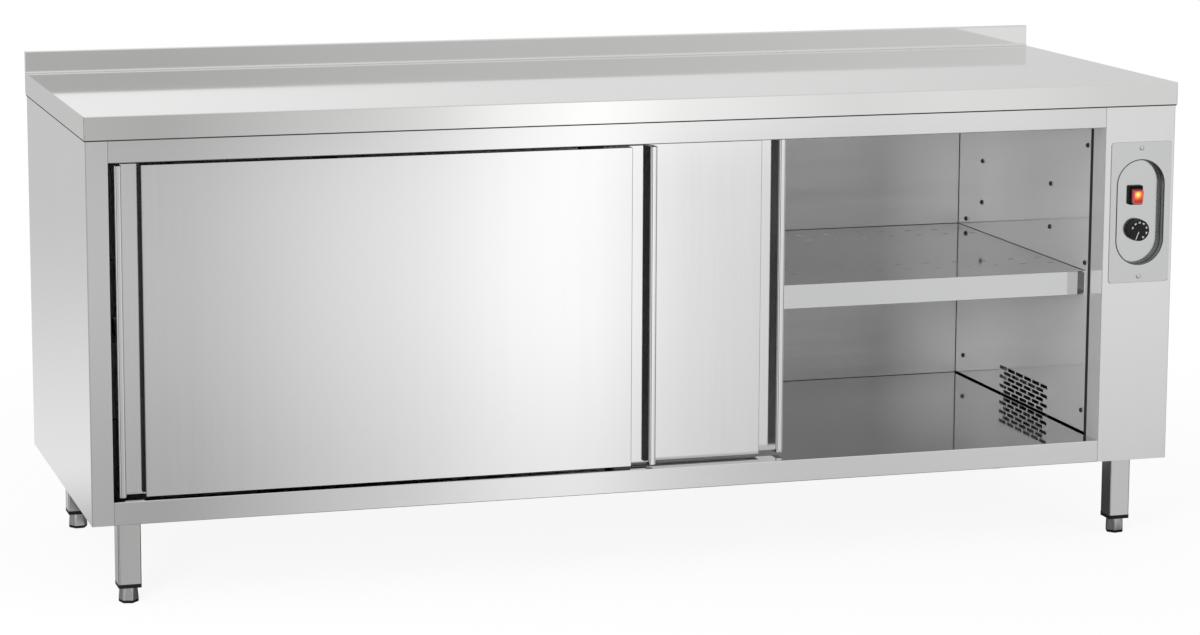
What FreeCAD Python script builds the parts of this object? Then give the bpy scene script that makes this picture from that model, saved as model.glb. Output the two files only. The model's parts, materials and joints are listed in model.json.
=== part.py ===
import FreeCAD, Part
import math
import os
import re
import Sketcher

# Heated plate cabinet, 2000 x 700 x 850 mm plus a 40 mm rear upstand, in millimetres.
# X runs to the right, Y to the back and Z up; the origin is on the floor, at the middle.

DIMENSIONS = (
    # Worktop: a folded tray with a rear upstand, stiffened below
    ("work_width", 2000), ("work_depth", 700), ("work_height", 850), ("apron_height", 40),
    ("upstand_height", 40), ("upstand_depth", 15), ("work_gauge", 1.5), ("hem_width", 15),
    ("work_edge_radius", 2), ("upstand_cove_radius", 5),
    ("hat_width", 60), ("hat_height", 25), ("hat_flange", 20), ("hat_gauge", 1.5),
    # Body: sheet panels, measured from the worktop's edges
    ("gauge", 1.2), ("side_inset", 2), ("front_inset", 4), ("back_inset", 4),
    ("underside_height", 150), ("sill_height", 40), ("rail_height", 40), ("rail_flange", 20),
    ("rail_lip", 10), ("post_width", 38), ("column_width", 138), ("return_depth", 50),
    ("side_flange", 15), ("fold_radius", 1.5),
    # Cabin lining, set back from the body
    ("lining_step", 2), ("lining_setback", 60), ("lining_flange", 15), ("lining_lift", 3.3),
    ("ceiling_gap", 10), ("back_gap", 6.8), ("ceiling_front", 78), ("ceiling_flange", 8.8),
    ("insulation_thickness", 20), ("insulation_end_gap", 10),
    # Air outlet in the right lining: brick-laid slots
    ("slot_length", 34.6), ("slot_height", 5), ("slot_land", 4), ("slot_row_step", 9.2),
    ("slot_top_height", 246),
    # Screws of the lining and of the shelf rails
    ("screw_head_radius", 4), ("screw_head_height", 2.2),
    ("screw_neck", 4), ("screw_length", 7), ("screw_neck_clearance", 0.1),
    ("lining_screw_front", 82), ("lining_screw_back", 53), ("screw_row_low", 232),
    ("screw_row_middle", 510), ("screw_row_high", 729), ("rail_screw_front", 242),
    ("rail_screw_back", 131), ("rail_screw_low", 472), ("rail_screw_step", 82),
    # Shelf and the two channel rails that it stands on
    ("shelf_top", 495), ("shelf_edge_height", 44), ("shelf_front", 80), ("shelf_back", 48),
    ("shelf_side_gap", 0.5), ("shelf_rail_width", 15), ("shelf_rail_height", 42.5),
    ("shelf_rail_setback", 2), ("shelf_slot_length", 12), ("shelf_slot_width", 4),
    ("shelf_slot_land", 45), ("shelf_slot_margin", 28), ("shelf_row_inset", 35),
    ("shelf_front_row_inset", 103), ("shelf_row_step", 57),
    # Sliding doors, each with a full-height grip channel at both edges
    ("door_overlap", 94), ("door_depth", 28), ("door_lane_step", 35), ("door_front_inset", 12),
    ("door_top_gap", 6), ("door_bottom_gap", 5.5), ("door_gauge", 1), ("grip_lip", 13),
    ("grip_width", 33), ("grip_depth", 25), ("lip_radius", 4), ("panel_edge_radius", 1.5),
    ("liner_flange", 9), ("front_door_offset", 10.7), ("rear_door_offset", 262.4),
    ("front_door_left_gap", 2.7), ("front_door_right_gap", 12.3), ("rear_door_left_gap", 12.4),
    ("rear_door_right_gap", 10.6), ("guide_slot_width", 5),
    # Door hangers, rollers and the double track behind the top rail
    ("hanger_width", 40), ("hanger_thickness", 3), ("hanger_foot_depth", 20), ("hanger_inset", 120),
    ("hanger_head_height", 8), ("axle_radius", 2.5), ("axle_head_radius", 4.5),
    ("axle_head_thickness", 1.5), ("axle_clearance", 0.05), ("roller_width", 6),
    ("roller_side_gap", 0.5), ("roller_radius", 11), ("track_wall", 2), ("track_ledge_height", 7),
    ("track_ledge_depth", 9.5), ("bead_radius", 2), ("running_gap", 0.3), ("lane_web_offset", 15),
    ("track_back_offset", 15), ("buffer_length", 15), ("buffer_depth", 6), ("buffer_height", 21),
    # Bottom guide on the floor, with one fin for each door
    ("guide_length", 30), ("guide_base_height", 4), ("guide_fin_length", 12),
    ("guide_fin_thickness", 2.5), ("guide_fin_height", 15), ("guide_shift", 4),
    # Control plate with a drawn recess, in the right-hand column
    ("bezel_width", 120), ("bezel_height", 260), ("bezel_thickness", 3), ("bezel_side_gap", 12),
    ("bezel_top_gap", 67), ("bezel_corner_radius", 6), ("bezel_edge_chamfer", 1.5),
    ("recess_width", 94), ("recess_height", 194), ("recess_depth", 21), ("recess_wall", 1.5),
    ("recess_mouth_radius", 2.5), ("recess_clearance", 1), ("bezel_screw_inset", 11.5), ("bezel_screw_head_height", 0.9),
    # Rocker switch
    ("switch_width", 24), ("switch_height", 33), ("switch_frame_depth", 9), ("switch_drop", 100),
    ("switch_body_width", 20.6), ("switch_body_height", 29.6), ("switch_body_depth", 24),
    ("rocker_width", 16.8), ("rocker_height", 24.8), ("rocker_clearance", 0.6), ("rocker_nose", 13),
    ("rocker_end_rise", 2), ("rocker_back", 4), ("rocker_back_height", 12), ("rocker_tilt", 8),
    ("rocker_pivot_depth", 0.8), ("switch_wall", 1.4), ("switch_corner_radius", 2.5),
    # Thermostat with its shaft and knob
    ("knob_radius", 21), ("knob_depth", 17.7), ("knob_drop", 164),
    ("knob_gap", 0.3), ("knob_chamfer", 1.2),
    ("shaft_radius", 3), ("shaft_length", 34), ("shaft_clearance", 0.05), ("shaft_knob_length", 14),
    ("thermostat_width", 36), ("thermostat_depth", 24), ("bushing_radius", 5),
    # Cross-flow blower behind the air outlet
    ("blower_setback", 55), ("blower_lift", 44), ("scroll_radius", 41), ("scroll_gauge", 1.2),
    ("scroll_sweep", 120), ("housing_length", 218), ("housing_width", 98),
    ("housing_height", 88), ("tongue_lift", 60), ("tongue_length", 16), ("tongue_height", 16),
    ("impeller_radius", 30), ("impeller_end_gap", 4), ("impeller_disc", 1.5), ("blade_length", 8),
    ("blade_thickness", 1), ("blade_set", 2.5), ("blower_shaft_radius", 3), ("shaft_overhang", 12),
    ("hub_radius", 9), ("motor_width", 52), ("motor_length", 30),
    # Heating element in the outlet duct
    ("heater_radius", 4), ("heater_step", 16), ("heater_setback", 11), ("heater_lift", 15),
    ("heater_bracket_width", 12), ("heater_bracket_gauge", 2), ("heater_bracket_margin", 6),
    # Terminal block and cable gland in the service space
    ("terminal_length", 76), ("terminal_width", 22), ("terminal_base", 8), ("terminal_rib", 8),
    ("terminal_rib_thickness", 2), ("terminal_poles", 6), ("terminal_inset", 66),
    ("terminal_back", 130), ("gland_inset", 45), ("gland_back", 145), ("gland_bore_radius", 5),
    ("gland_thread_radius", 8), ("gland_nut_radius", 13), ("gland_nut_height", 6),
    ("gland_clearance", 0.3),
    # Legs, end caps and screw feet
    ("leg_width", 40), ("leg_wall", 1.5), ("leg_side_inset", 52), ("leg_end_inset", 46),
    ("leg_bottom", 35), ("leg_corner_radius", 3), ("leg_plate_width", 90),
    ("leg_plate_thickness", 3), ("cap_height", 7), ("cap_plug_height", 14), ("cap_clearance", 0.3),
    ("pad_height", 5.5), ("foot_circumradius", 17.4), ("spindle_radius", 5),
    ("spindle_clearance", 0.1), ("spindle_length", 72),
    # One overrun for all cuts
    ("overrun", 5),
)

# Places shared by several pieces, as sums of the named sizes
LEFT = "(-work_width / 2 + side_inset)"
RIGHT = "(work_width / 2 - side_inset)"
FRONT = "(-work_depth / 2 + front_inset)"
BACK = "(work_depth / 2 - back_inset)"
BODY_TOP = "(work_height - apron_height)"
BODY_HEIGHT = "(work_height - apron_height - underside_height)"
FLOOR = "(underside_height + sill_height)"
DOORWAY_TOP = "(work_height - apron_height - rail_height)"
OPEN_LEFT = "(-work_width / 2 + side_inset + post_width)"
OPEN_RIGHT = "(work_width / 2 - side_inset - column_width)"
LINING_LEFT = "(-work_width / 2 + side_inset + post_width - lining_step)"
LINING_RIGHT = "(work_width / 2 - side_inset - column_width + lining_step)"
LINING_FRONT = "(-work_depth / 2 + front_inset + lining_setback)"
LINING_END = "(work_depth / 2 - back_inset - gauge)"
LINING_BASE = "(underside_height + sill_height + lining_lift)"
CABIN_TOP = "(work_height - apron_height - ceiling_gap)"
CEILING_FRONT = "(-work_depth / 2 + ceiling_front)"
DOOR_WIDTH = "((work_width - 2 * side_inset - post_width - column_width + door_overlap) / 2)"
DOOR_FRONT = "(-work_depth / 2 + door_front_inset)"
DOOR_BASE = "(underside_height + sill_height + door_bottom_gap)"
DOOR_TOP = "(work_height - apron_height - rail_height - door_top_gap)"
TRACK_TOP = "(work_height - apron_height - gauge)"
LEDGE_TOP = "(work_height - apron_height - rail_height + track_ledge_height)"
ROLLER_HEIGHT = ("(work_height - apron_height - rail_height + track_ledge_height"
                 " + bead_radius + running_gap + roller_radius)")
BEZEL_CENTRE = "(work_width / 2 - side_inset - column_width + bezel_side_gap + bezel_width / 2)"
BEZEL_TOP = "(work_height - apron_height - bezel_top_gap)"
BEZEL_FRONT = "(-work_depth / 2 + front_inset - bezel_thickness)"
RECESS_FLOOR = "(-work_depth / 2 + front_inset - bezel_thickness + recess_depth)"
SWITCH_CENTRE = "(work_height - apron_height - bezel_top_gap - switch_drop)"
KNOB_CENTRE = "(work_height - apron_height - bezel_top_gap - knob_drop)"
BLOWER_X = "(work_width / 2 - side_inset - column_width + lining_step + blower_setback)"
BLOWER_Z = "(underside_height + sill_height + blower_lift)"
BLOWER_Y = "(-housing_length / 2)"
GLAND_X = "(work_width / 2 - gland_inset)"
GLAND_Y = "(work_depth / 2 - gland_back)"

# Two places this close count as one
NEAR = 0.001

DOC = FreeCAD.newDocument("PlateCabinet")
SHEET = DOC.addObject("Spreadsheet::Sheet", "Dims")
NODES = []


def size(alias):
    """A named size as a plain number."""
    return dict(DIMENSIONS)[alias]


def fill_sheet():
    """Each driving dimension as a plain number with its alias."""
    for row, (alias, value) in enumerate(DIMENSIONS, 1):
        SHEET.set("A%d" % row, alias)
        SHEET.set("B%d" % row, str(value))
        SHEET.setAlias("B%d" % row, alias)
    DOC.recompute()


def bind(item, prop, formula):
    """Tie a property to a formula of named sizes."""
    item.setExpression(prop, re.sub(r"[a-z][a-z_]+", r"Dims.\g<0>", formula))


def place(item, spot):
    """Put a piece at an (x, y, z) formula."""
    for axis, formula in zip("xyz", spot):
        bind(item, "Placement.Base." + axis, formula)
    return item


def keep(name, item):
    """Make an object a named sub-part."""
    item.Label = name
    NODES.append(item)
    return item


def box(name, x_span, y_span, z_span):
    """Block between three pairs of formulas."""
    block = DOC.addObject("Part::Box", name)
    for prop, (low, high) in zip(("Length", "Width", "Height"), (x_span, y_span, z_span)):
        bind(block, prop, "(%s) - (%s)" % (high, low))
    return place(block, (x_span[0], y_span[0], z_span[0]))


UPRIGHT = FreeCAD.Rotation()
ALONG_X = FreeCAD.Rotation(FreeCAD.Vector(0, 1, 0), 90)
ALONG_Y = FreeCAD.Rotation(FreeCAD.Vector(1, 0, 0), -90)
AGAINST_X = FreeCAD.Rotation(FreeCAD.Vector(0, 1, 0), -90)
AGAINST_Y = FreeCAD.Rotation(FreeCAD.Vector(1, 0, 0), 90)


def rod(name, radius, length, spot, rotation=UPRIGHT):
    """Round bar that starts at a spot and runs along the rotated Z axis."""
    bar = DOC.addObject("Part::Cylinder", name)
    bind(bar, "Radius", radius)
    bind(bar, "Height", length)
    bar.Placement = FreeCAD.Placement(FreeCAD.Vector(), rotation)
    return place(bar, spot)


def prism(name, sides, circumradius, height, spot, rotation=UPRIGHT):
    """Many-sided bar that starts at a spot and runs along the rotated Z axis."""
    bar = DOC.addObject("Part::Prism", name)
    bar.Polygon = sides
    bind(bar, "Circumradius", circumradius)
    bind(bar, "Height", height)
    bar.Placement = FreeCAD.Placement(FreeCAD.Vector(), rotation)
    return place(bar, spot)


def fuse(name, pieces):
    """One solid from several."""
    union = DOC.addObject("Part::MultiFuse", name)
    union.Shapes = pieces
    union.Refine = True
    return union


def cut(name, base, tools):
    """A solid less one or more tools."""
    rest = DOC.addObject("Part::Cut", name)
    rest.Base = base
    rest.Tool = tools[0] if len(tools) == 1 else fuse(name + "_tools", tools)
    return rest


def group(name, pieces):
    """Separate alike solids under one name."""
    alike = DOC.addObject("Part::Compound", name)
    alike.Links = pieces
    return alike


def body(name, spot):
    """Empty body with its own origin at a spot."""
    return place(DOC.addObject("PartDesign::Body", name), spot)


def origin_part(owner, role):
    """Plane or axis of a body's own origin."""
    return next(part for part in owner.Origin.OriginFeatures if part.Role == role)


def blank_sketch(owner, plane, level):
    """Empty sketch on one of the body's origin planes, lifted by a formula."""
    sketch = owner.newObject("Sketcher::SketchObject", owner.Name + "_sketch")
    sketch.AttachmentSupport = (origin_part(owner, plane), [""])
    sketch.MapMode = "FlatFace"
    bind(sketch, "AttachmentOffset.Base.z", level)
    return sketch


def add_loop(sketch, points):
    """Closed outline whose corners are tied to (across, up) formulas."""
    count = len(points)
    first = sketch.GeometryCount
    reach = size("overrun")
    turns = [2 * math.pi * index / count for index in range(count)]
    starts = [FreeCAD.Vector(reach * math.cos(angle), reach * math.sin(angle), 0) for angle in turns]
    for index in range(count):
        sketch.addGeometry(Part.LineSegment(starts[index], starts[(index + 1) % count]), False)
    for index in range(count):
        after = first + (index + 1) % count
        sketch.addConstraint(Sketcher.Constraint("Coincident", first + index, 2, after, 1))
    for index, (across, up) in enumerate(points):
        for kind, formula, start in (("DistanceX", across, starts[index].x),
                                     ("DistanceY", up, starts[index].y)):
            rule = Sketcher.Constraint(kind, -1, 1, first + index, 1, start)
            bind(sketch, "Constraints[%d]" % sketch.addConstraint(rule), formula)


def add_circle(sketch, radius, across, up):
    """Circle tied to a radius formula and an (across, up) centre."""
    start = size("overrun")
    ring = sketch.addGeometry(Part.Circle(FreeCAD.Vector(start, start, 0), FreeCAD.Vector(0, 0, 1), start), False)
    for rule, formula in ((Sketcher.Constraint("Radius", ring, start), radius),
                          (Sketcher.Constraint("DistanceX", -1, 1, ring, 3, start), across),
                          (Sketcher.Constraint("DistanceY", -1, 1, ring, 3, start), up)):
        bind(sketch, "Constraints[%d]" % sketch.addConstraint(rule), formula)


def corners(x_span, y_span):
    """Four corners of a rectangle between two pairs of formulas."""
    (left, right), (low, high) = x_span, y_span
    return [(left, low), (right, low), (right, high), (left, high)]


def outline(owner, plane, points, level="0"):
    """Sketch with one closed outline."""
    sketch = blank_sketch(owner, plane, level)
    add_loop(sketch, points)
    return sketch


def pad(owner, sketch, length, against=False):
    """Material from a sketch, along its normal or against it."""
    feature = owner.newObject("PartDesign::Pad", owner.Name + "_pad")
    feature.Profile = sketch
    feature.Reversed = against
    bind(feature, "Length", length)
    return feature


def pocket(owner, sketch, length, along=False):
    """Cut from a sketch, against its normal or along it; the volume has to drop."""
    DOC.recompute()
    before = owner.Shape.Volume
    feature = owner.newObject("PartDesign::Pocket", owner.Name + "_pocket")
    feature.Profile = sketch
    feature.Reversed = along
    bind(feature, "Length", length)
    DOC.recompute()
    if not feature.Shape.Volume < before:
        raise RuntimeError(owner.Name + ": a pocket removes nothing")
    return feature


def repeat(owner, feature, axis, count, pitch):
    """Copies of a feature along one of the body's own axes."""
    pattern = owner.newObject("PartDesign::LinearPattern", owner.Name + "_pattern")
    pattern.Originals = [feature]
    pattern.Direction = (origin_part(owner, axis), [""])
    pattern.Mode = "Spacing"
    pattern.Occurrences = count
    bind(pattern, "Offset", pitch)
    owner.Tip = pattern
    return pattern


def soften(owner, radius, chosen, kind="Fillet", prop="Radius"):
    """Fillet or chamfer on the edges of the body that a test picks."""
    DOC.recompute()
    last = owner.Tip
    box_round = last.Shape.BoundBox
    names = ["Edge%d" % number for number, edge in enumerate(last.Shape.Edges, 1)
             if chosen(edge, box_round)]
    feature = owner.newObject("PartDesign::" + kind, owner.Name + "_" + kind.lower())
    feature.Base = (last, names)
    bind(feature, prop, radius)
    return feature


def same(one, other):
    """Whether two places agree."""
    return abs(one - other) < NEAR


def runs(edge, axis):
    """Whether an edge is straight along an axis index."""
    if not isinstance(edge.Curve, (Part.Line, Part.LineSegment)):
        return False
    direction = edge.tangentAt(edge.FirstParameter)
    return abs(direction[axis]) > math.cos(math.radians(1))


def at(edge, axis, value):
    """Whether an edge's middle lies at a value of an axis index."""
    return same(edge.CenterOfMass[axis], value)


def worktop():
    """Tray with a hem below, and the hollow upstand along the back."""
    top = body("worktop", ("-work_width / 2", "-work_depth / 2", "0"))
    whole = corners(("0", "work_width"), ("0", "work_depth"))
    pad(top, outline(top, "XY_Plane", whole, BODY_TOP), "apron_height")
    wall = corners(("0", "work_width"), ("work_depth - upstand_depth", "work_depth"))
    pad(top, outline(top, "XY_Plane", wall, "work_height"), "upstand_height")
    inner = corners(("work_gauge", "work_width - work_gauge"), ("work_gauge", "work_depth - work_gauge"))
    hollow = outline(top, "XY_Plane", inner, BODY_TOP + " + work_gauge")
    pocket(top, hollow, "apron_height - 2 * work_gauge", along=True)
    rise = corners(("work_gauge", "work_width - work_gauge"),
                   ("work_depth - upstand_depth + work_gauge", "work_depth - work_gauge"))
    pocket(top, outline(top, "XY_Plane", rise, "work_height - work_gauge"), "upstand_height", along=True)
    edge = "work_gauge + hem_width"
    mouth = corners((edge, "work_width - " + edge.replace("+", "-")),
                    (edge, "work_depth - " + edge.replace("+", "-")))
    pocket(top, outline(top, "XY_Plane", mouth, BODY_TOP + " + work_gauge"), "work_gauge + overrun")
    foot = size("work_depth") - size("upstand_depth")
    height = size("work_height")
    soften(top, "upstand_cove_radius",
           lambda edge, around: runs(edge, 0) and at(edge, 1, foot) and at(edge, 2, height))
    soften(top, "work_edge_radius",
           lambda edge, around: (runs(edge, 0) and at(edge, 1, around.YMin) and at(edge, 2, height))
           or (runs(edge, 2) and at(edge, 1, around.YMin))
           or (runs(edge, 0) and at(edge, 2, around.ZMax)))
    keep("worktop", top)


def worktop_stiffeners():
    """Three hat profiles across the underside of the worktop."""
    across = ("0", "hat_flange", "hat_flange + hat_gauge", "hat_flange + hat_width - hat_gauge",
              "hat_flange + hat_width", "2 * hat_flange + hat_width")
    hat = [(across[0], "hat_height"), (across[0], "hat_height - hat_gauge"),
           (across[1], "hat_height - hat_gauge"), (across[1], "0"), (across[4], "0"),
           (across[4], "hat_height - hat_gauge"), (across[5], "hat_height - hat_gauge"),
           (across[5], "hat_height"), (across[3], "hat_height"), (across[3], "hat_gauge"),
           (across[2], "hat_gauge"), (across[2], "hat_height")]
    hats = []
    for number, width_share in enumerate(("-3 / 10", "0 / 10", "3 / 10"), 1):
        spot = ("work_width * %s - hat_flange - hat_width / 2" % width_share,
                "-work_depth / 2 + work_gauge + hem_width", "work_height - work_gauge - hat_height")
        profile = body("stiffener_%d" % number, spot)
        pad(profile, outline(profile, "XZ_Plane", hat), "work_depth - 2 * work_gauge - 2 * hem_width",
            against=True)
        hats.append(profile)
    keep("worktop_stiffeners", group("worktop_stiffeners", hats))


def side_panels():
    """Left panel folded into the front post, and the plain right panel."""
    depth = "(%s - gauge - %s)" % (BACK, FRONT)
    left = body("left_side_panel", (LEFT, FRONT, "underside_height"))
    plan = [("post_width", "return_depth"), ("post_width", "0"), ("0", "0"), ("0", depth),
            ("side_flange", depth), ("side_flange", depth + " - gauge"), ("gauge", depth + " - gauge"),
            ("gauge", "gauge"), ("post_width - gauge", "gauge"), ("post_width - gauge", "return_depth")]
    pad(left, outline(left, "XY_Plane", plan), BODY_HEIGHT)
    soften(left, "fold_radius", lambda edge, around: runs(edge, 2) and at(edge, 1, around.YMin))
    shorten_return(left, ("post_width - gauge", "post_width + overrun"))
    keep("left_side_panel", left)
    right = body("right_side_panel", (RIGHT + " - side_flange", FRONT + " + gauge", "underside_height"))
    length = depth + " - gauge"
    plan = [("0", "0"), ("side_flange", "0"), ("side_flange", length), ("0", length),
            ("0", length + " - gauge"), ("side_flange - gauge", length + " - gauge"),
            ("side_flange - gauge", "gauge"), ("0", "gauge")]
    pad(right, outline(right, "XY_Plane", plan), BODY_HEIGHT)
    keep("right_side_panel", right)


def shorten_return(owner, span):
    """Cut the inward fold of a post off at the floor panel."""
    below = corners(span, ("gauge", "return_depth + overrun"))
    pocket(owner, outline(owner, "XY_Plane", below, "-overrun"), "sill_height + overrun", along=True)


def stadium(name, width, height, depth, spot):
    """Upright round-ended block that runs to the back from a spot at its middle."""
    x, y, z = spot
    straight = "((%s) - (%s)) / 2" % (height, width)
    middle = box(name + "_middle", (x + " - (%s) / 2" % width, x + " + (%s) / 2" % width),
                 (y, "%s + %s" % (y, depth)), ("%s - %s" % (z, straight), "%s + %s" % (z, straight)))
    ends = [rod(name + "_end", "(%s) / 2" % width, depth, (x, y, "%s %s %s" % (z, sign, straight)), ALONG_Y)
            for sign in "+-"]
    return fuse(name, [middle] + ends)


RECESS_CENTRE = BEZEL_TOP + " - bezel_height / 2"
SCREW_DROPS = ("bezel_screw_inset", "(bezel_height - bezel_screw_inset)")


def square_hole(name, drop):
    """Cutter for a neck hole through bezel and fascia, a drop below the bezel's top."""
    half = "(screw_neck / 2 + screw_neck_clearance)"
    middle = "%s - %s" % (BEZEL_TOP, drop)
    return box(name, (BEZEL_CENTRE + " - " + half, BEZEL_CENTRE + " + " + half),
               (BEZEL_FRONT + " - overrun", FRONT + " + gauge + overrun"),
               (middle + " - " + half, middle + " + " + half))


def control_fascia():
    """Front of the service column, cut out for the control plate."""
    sheet = body("fascia_sheet", (OPEN_RIGHT, FRONT, "underside_height"))
    plan = [("0", "return_depth"), ("0", "0"), ("column_width", "0"), ("column_width", "gauge"),
            ("gauge", "gauge"), ("gauge", "return_depth")]
    pad(sheet, outline(sheet, "XY_Plane", plan), BODY_HEIGHT)
    soften(sheet, "fold_radius",
           lambda edge, around: runs(edge, 2) and at(edge, 1, around.YMin) and at(edge, 0, around.XMin))
    shorten_return(sheet, ("-overrun", "gauge"))
    window = stadium("fascia_window", "recess_width + 2 * recess_wall + 2 * recess_clearance",
                     "recess_height + 2 * recess_wall + 2 * recess_clearance", "gauge + 2 * overrun",
                     (BEZEL_CENTRE, FRONT + " - overrun", RECESS_CENTRE))
    holes = [square_hole("fascia_hole", drop) for drop in SCREW_DROPS]
    keep("control_fascia", cut("control_fascia", sheet, [window] + holes))


def top_rail():
    """Channel over the doorway."""
    rail = body("top_rail", (OPEN_LEFT, FRONT, DOORWAY_TOP))
    profile = [("rail_lip", "0"), ("0", "0"), ("0", "rail_height"), ("rail_flange", "rail_height"),
               ("rail_flange", "rail_height - gauge"), ("gauge", "rail_height - gauge"),
               ("gauge", "gauge"), ("rail_lip", "gauge")]
    pad(rail, outline(rail, "YZ_Plane", profile), "%s - %s" % (OPEN_RIGHT, OPEN_LEFT))
    keep("top_rail", rail)


def floor_panel():
    """Floor pan whose front edge is the sill, stepped back behind post and column."""
    pan = body("floor_panel", (LEFT + " + gauge", FRONT, "underside_height"))
    near = "(post_width - gauge)"
    far = "(%s - %s - gauge)" % (OPEN_RIGHT, LEFT)
    width = "(%s - %s - 2 * gauge)" % (RIGHT, LEFT)
    depth = "(%s - 2 * gauge - %s)" % (BACK, FRONT)
    plan = [(near, "0"), (far, "0"), (far, "gauge"), (width, "gauge"), (width, depth),
            ("0", depth), ("0", "gauge"), (near, "gauge")]
    pad(pan, outline(pan, "XY_Plane", plan), "sill_height")
    step = "2 * gauge"
    under = [(near + " + gauge", "gauge"), (far + " - gauge", "gauge"), (far + " - gauge", step),
             (width + " - gauge", step), (width + " - gauge", depth + " - gauge"),
             ("gauge", depth + " - gauge"), ("gauge", step), (near + " + gauge", step)]
    pocket(pan, outline(pan, "XY_Plane", under), "sill_height - gauge", along=True)
    relief = corners((width + " - side_flange + gauge", width + " + overrun"), ("-overrun", "2 * gauge"))
    pocket(pan, outline(pan, "XY_Plane", relief, "-overrun"), "sill_height + 2 * overrun", along=True)
    hole = blank_sketch(pan, "XY_Plane", "sill_height + overrun")
    add_circle(hole, "gland_thread_radius + gland_clearance", "%s - %s - gauge" % (GLAND_X, LEFT),
               "%s - %s" % (GLAND_Y, FRONT))
    pocket(pan, hole, "gauge + 2 * overrun")
    soften(pan, "fold_radius",
           lambda edge, around: runs(edge, 0) and at(edge, 1, around.YMin) and at(edge, 2, around.ZMax))
    keep("floor_panel", pan)


def back_panels():
    """Outer back sheet and the back lining with its two stand-off folds."""
    keep("back_panel", box("back_panel", (LEFT, RIGHT), (BACK + " - gauge", BACK),
                           ("underside_height", BODY_TOP)))
    lining = body("inner_back_wall", (LINING_LEFT, LINING_END + " - back_gap", FLOOR))
    rise = "(%s - %s)" % (CABIN_TOP, FLOOR)
    profile = [("0", "0"), ("back_gap", "0"), ("back_gap", "gauge"), ("gauge", "gauge"),
               ("gauge", rise + " - gauge"), ("back_gap", rise + " - gauge"), ("back_gap", rise),
               ("0", rise)]
    pad(lining, outline(lining, "YZ_Plane", profile), "%s - %s" % (LINING_RIGHT, LINING_LEFT))
    keep("inner_back_wall", lining)


WALL_ROWS = ("screw_row_low", "screw_row_middle", "screw_row_high")
WALL_COLUMNS = ("(-work_depth / 2 + lining_screw_front)", "(work_depth / 2 - lining_screw_back)")
RAIL_COLUMNS = ("(-work_depth / 2 + rail_screw_front)", "(work_depth / 2 - rail_screw_back)")


def screw_places():
    """(y, z, on the shelf rail) of each screw in one side lining."""
    spots = [(column, row, False) for column in WALL_COLUMNS for row in WALL_ROWS]
    for column in RAIL_COLUMNS:
        for step in range(3):
            spots.append((column, "(rail_screw_low + %d * rail_screw_step)" % step, step == 0))
    return spots


def neck_hole(across, up):
    """Corners of the square hole for a screw's neck."""
    half = "(screw_neck / 2 + screw_neck_clearance)"
    return corners(("%s - %s" % (across, half), "%s + %s" % (across, half)),
                   ("%s - %s" % (up, half), "%s + %s" % (up, half)))


def side_linings():
    """Left and right cabin walls; the right one holds the air outlet."""
    depth = "(%s - %s)" % (LINING_END, LINING_FRONT)
    for name, left, face, plan in (
            ("inner_left_wall", LINING_LEFT + " - lining_flange", "lining_flange",
             [("0", "0"), ("lining_flange", "0"), ("lining_flange", depth), ("0", depth),
              ("0", depth + " - gauge"), ("lining_flange - gauge", depth + " - gauge"),
              ("lining_flange - gauge", "gauge"), ("0", "gauge")]),
            ("inner_right_wall", LINING_RIGHT, "0",
             [("lining_flange", "0"), ("0", "0"), ("0", depth), ("lining_flange", depth),
              ("lining_flange", depth + " - gauge"), ("gauge", depth + " - gauge"),
              ("gauge", "gauge"), ("lining_flange", "gauge")])):
        wall = body(name, (left, LINING_FRONT, LINING_BASE))
        pad(wall, outline(wall, "XY_Plane", plan), CABIN_TOP + " - " + LINING_BASE)
        holes = blank_sketch(wall, "YZ_Plane", face + " + overrun")
        for column, row, _ in screw_places():
            add_loop(holes, neck_hole("%s - %s" % (column, LINING_FRONT), "%s - %s" % (row, LINING_BASE)))
        pocket(wall, holes, "2 * overrun")
        if name == "inner_right_wall":
            cut_outlet(wall)
        keep(name, wall)


def cut_outlet(wall):
    """Six rows of slots, every second row set half a pitch over."""
    for first, count in ((0, 6), (1, 5)):
        rows = blank_sketch(wall, "YZ_Plane", "overrun")
        start = "((slot_land - %d * (slot_length + slot_land)) / 2 - %s)" % (count, LINING_FRONT)
        for row in range(first, 6, 2):
            top = "(slot_top_height - %d * slot_row_step - %s)" % (row, LINING_BASE)
            add_loop(rows, corners((start, start + " + slot_length"), (top + " - slot_height", top)))
        repeat(wall, pocket(wall, rows, "2 * overrun"), "Y_Axis", count, "slot_length + slot_land")


def ceiling_and_insulation():
    """Cabin ceiling, and the slabs over it and beside the left lining."""
    roof = body("inner_ceiling", (LINING_LEFT + " - lining_flange", CEILING_FRONT, CABIN_TOP))
    reach = "(%s - %s)" % (LINING_END, CEILING_FRONT)
    profile = [("0", "0"), (reach, "0"), (reach, "gauge"), ("gauge", "gauge"),
               ("gauge", "ceiling_flange"), ("0", "ceiling_flange")]
    pad(roof, outline(roof, "YZ_Plane", profile),
        "%s - %s + 2 * lining_flange" % (LINING_RIGHT, LINING_LEFT))
    keep("inner_ceiling", roof)
    side = box("side_slab", (LEFT + " + gauge", LINING_LEFT + " - lining_flange"),
               (LINING_FRONT + " + gauge", LINING_END + " - gauge"), (FLOOR, CABIN_TOP))
    over = box("top_slab", (LINING_LEFT, LINING_RIGHT),
               (CEILING_FRONT + " + insulation_end_gap", LINING_END + " - insulation_end_gap - hem_width"),
               (CABIN_TOP + " + gauge", CABIN_TOP + " + gauge + insulation_thickness"))
    keep("wall_insulation", group("wall_insulation", [side, over]))


SHELF_FRONT = "(-work_depth / 2 + shelf_front)"
SHELF_DEPTH = "(work_depth - shelf_front - shelf_back)"
SHELF_UNDER = "(shelf_top - gauge)"


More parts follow.
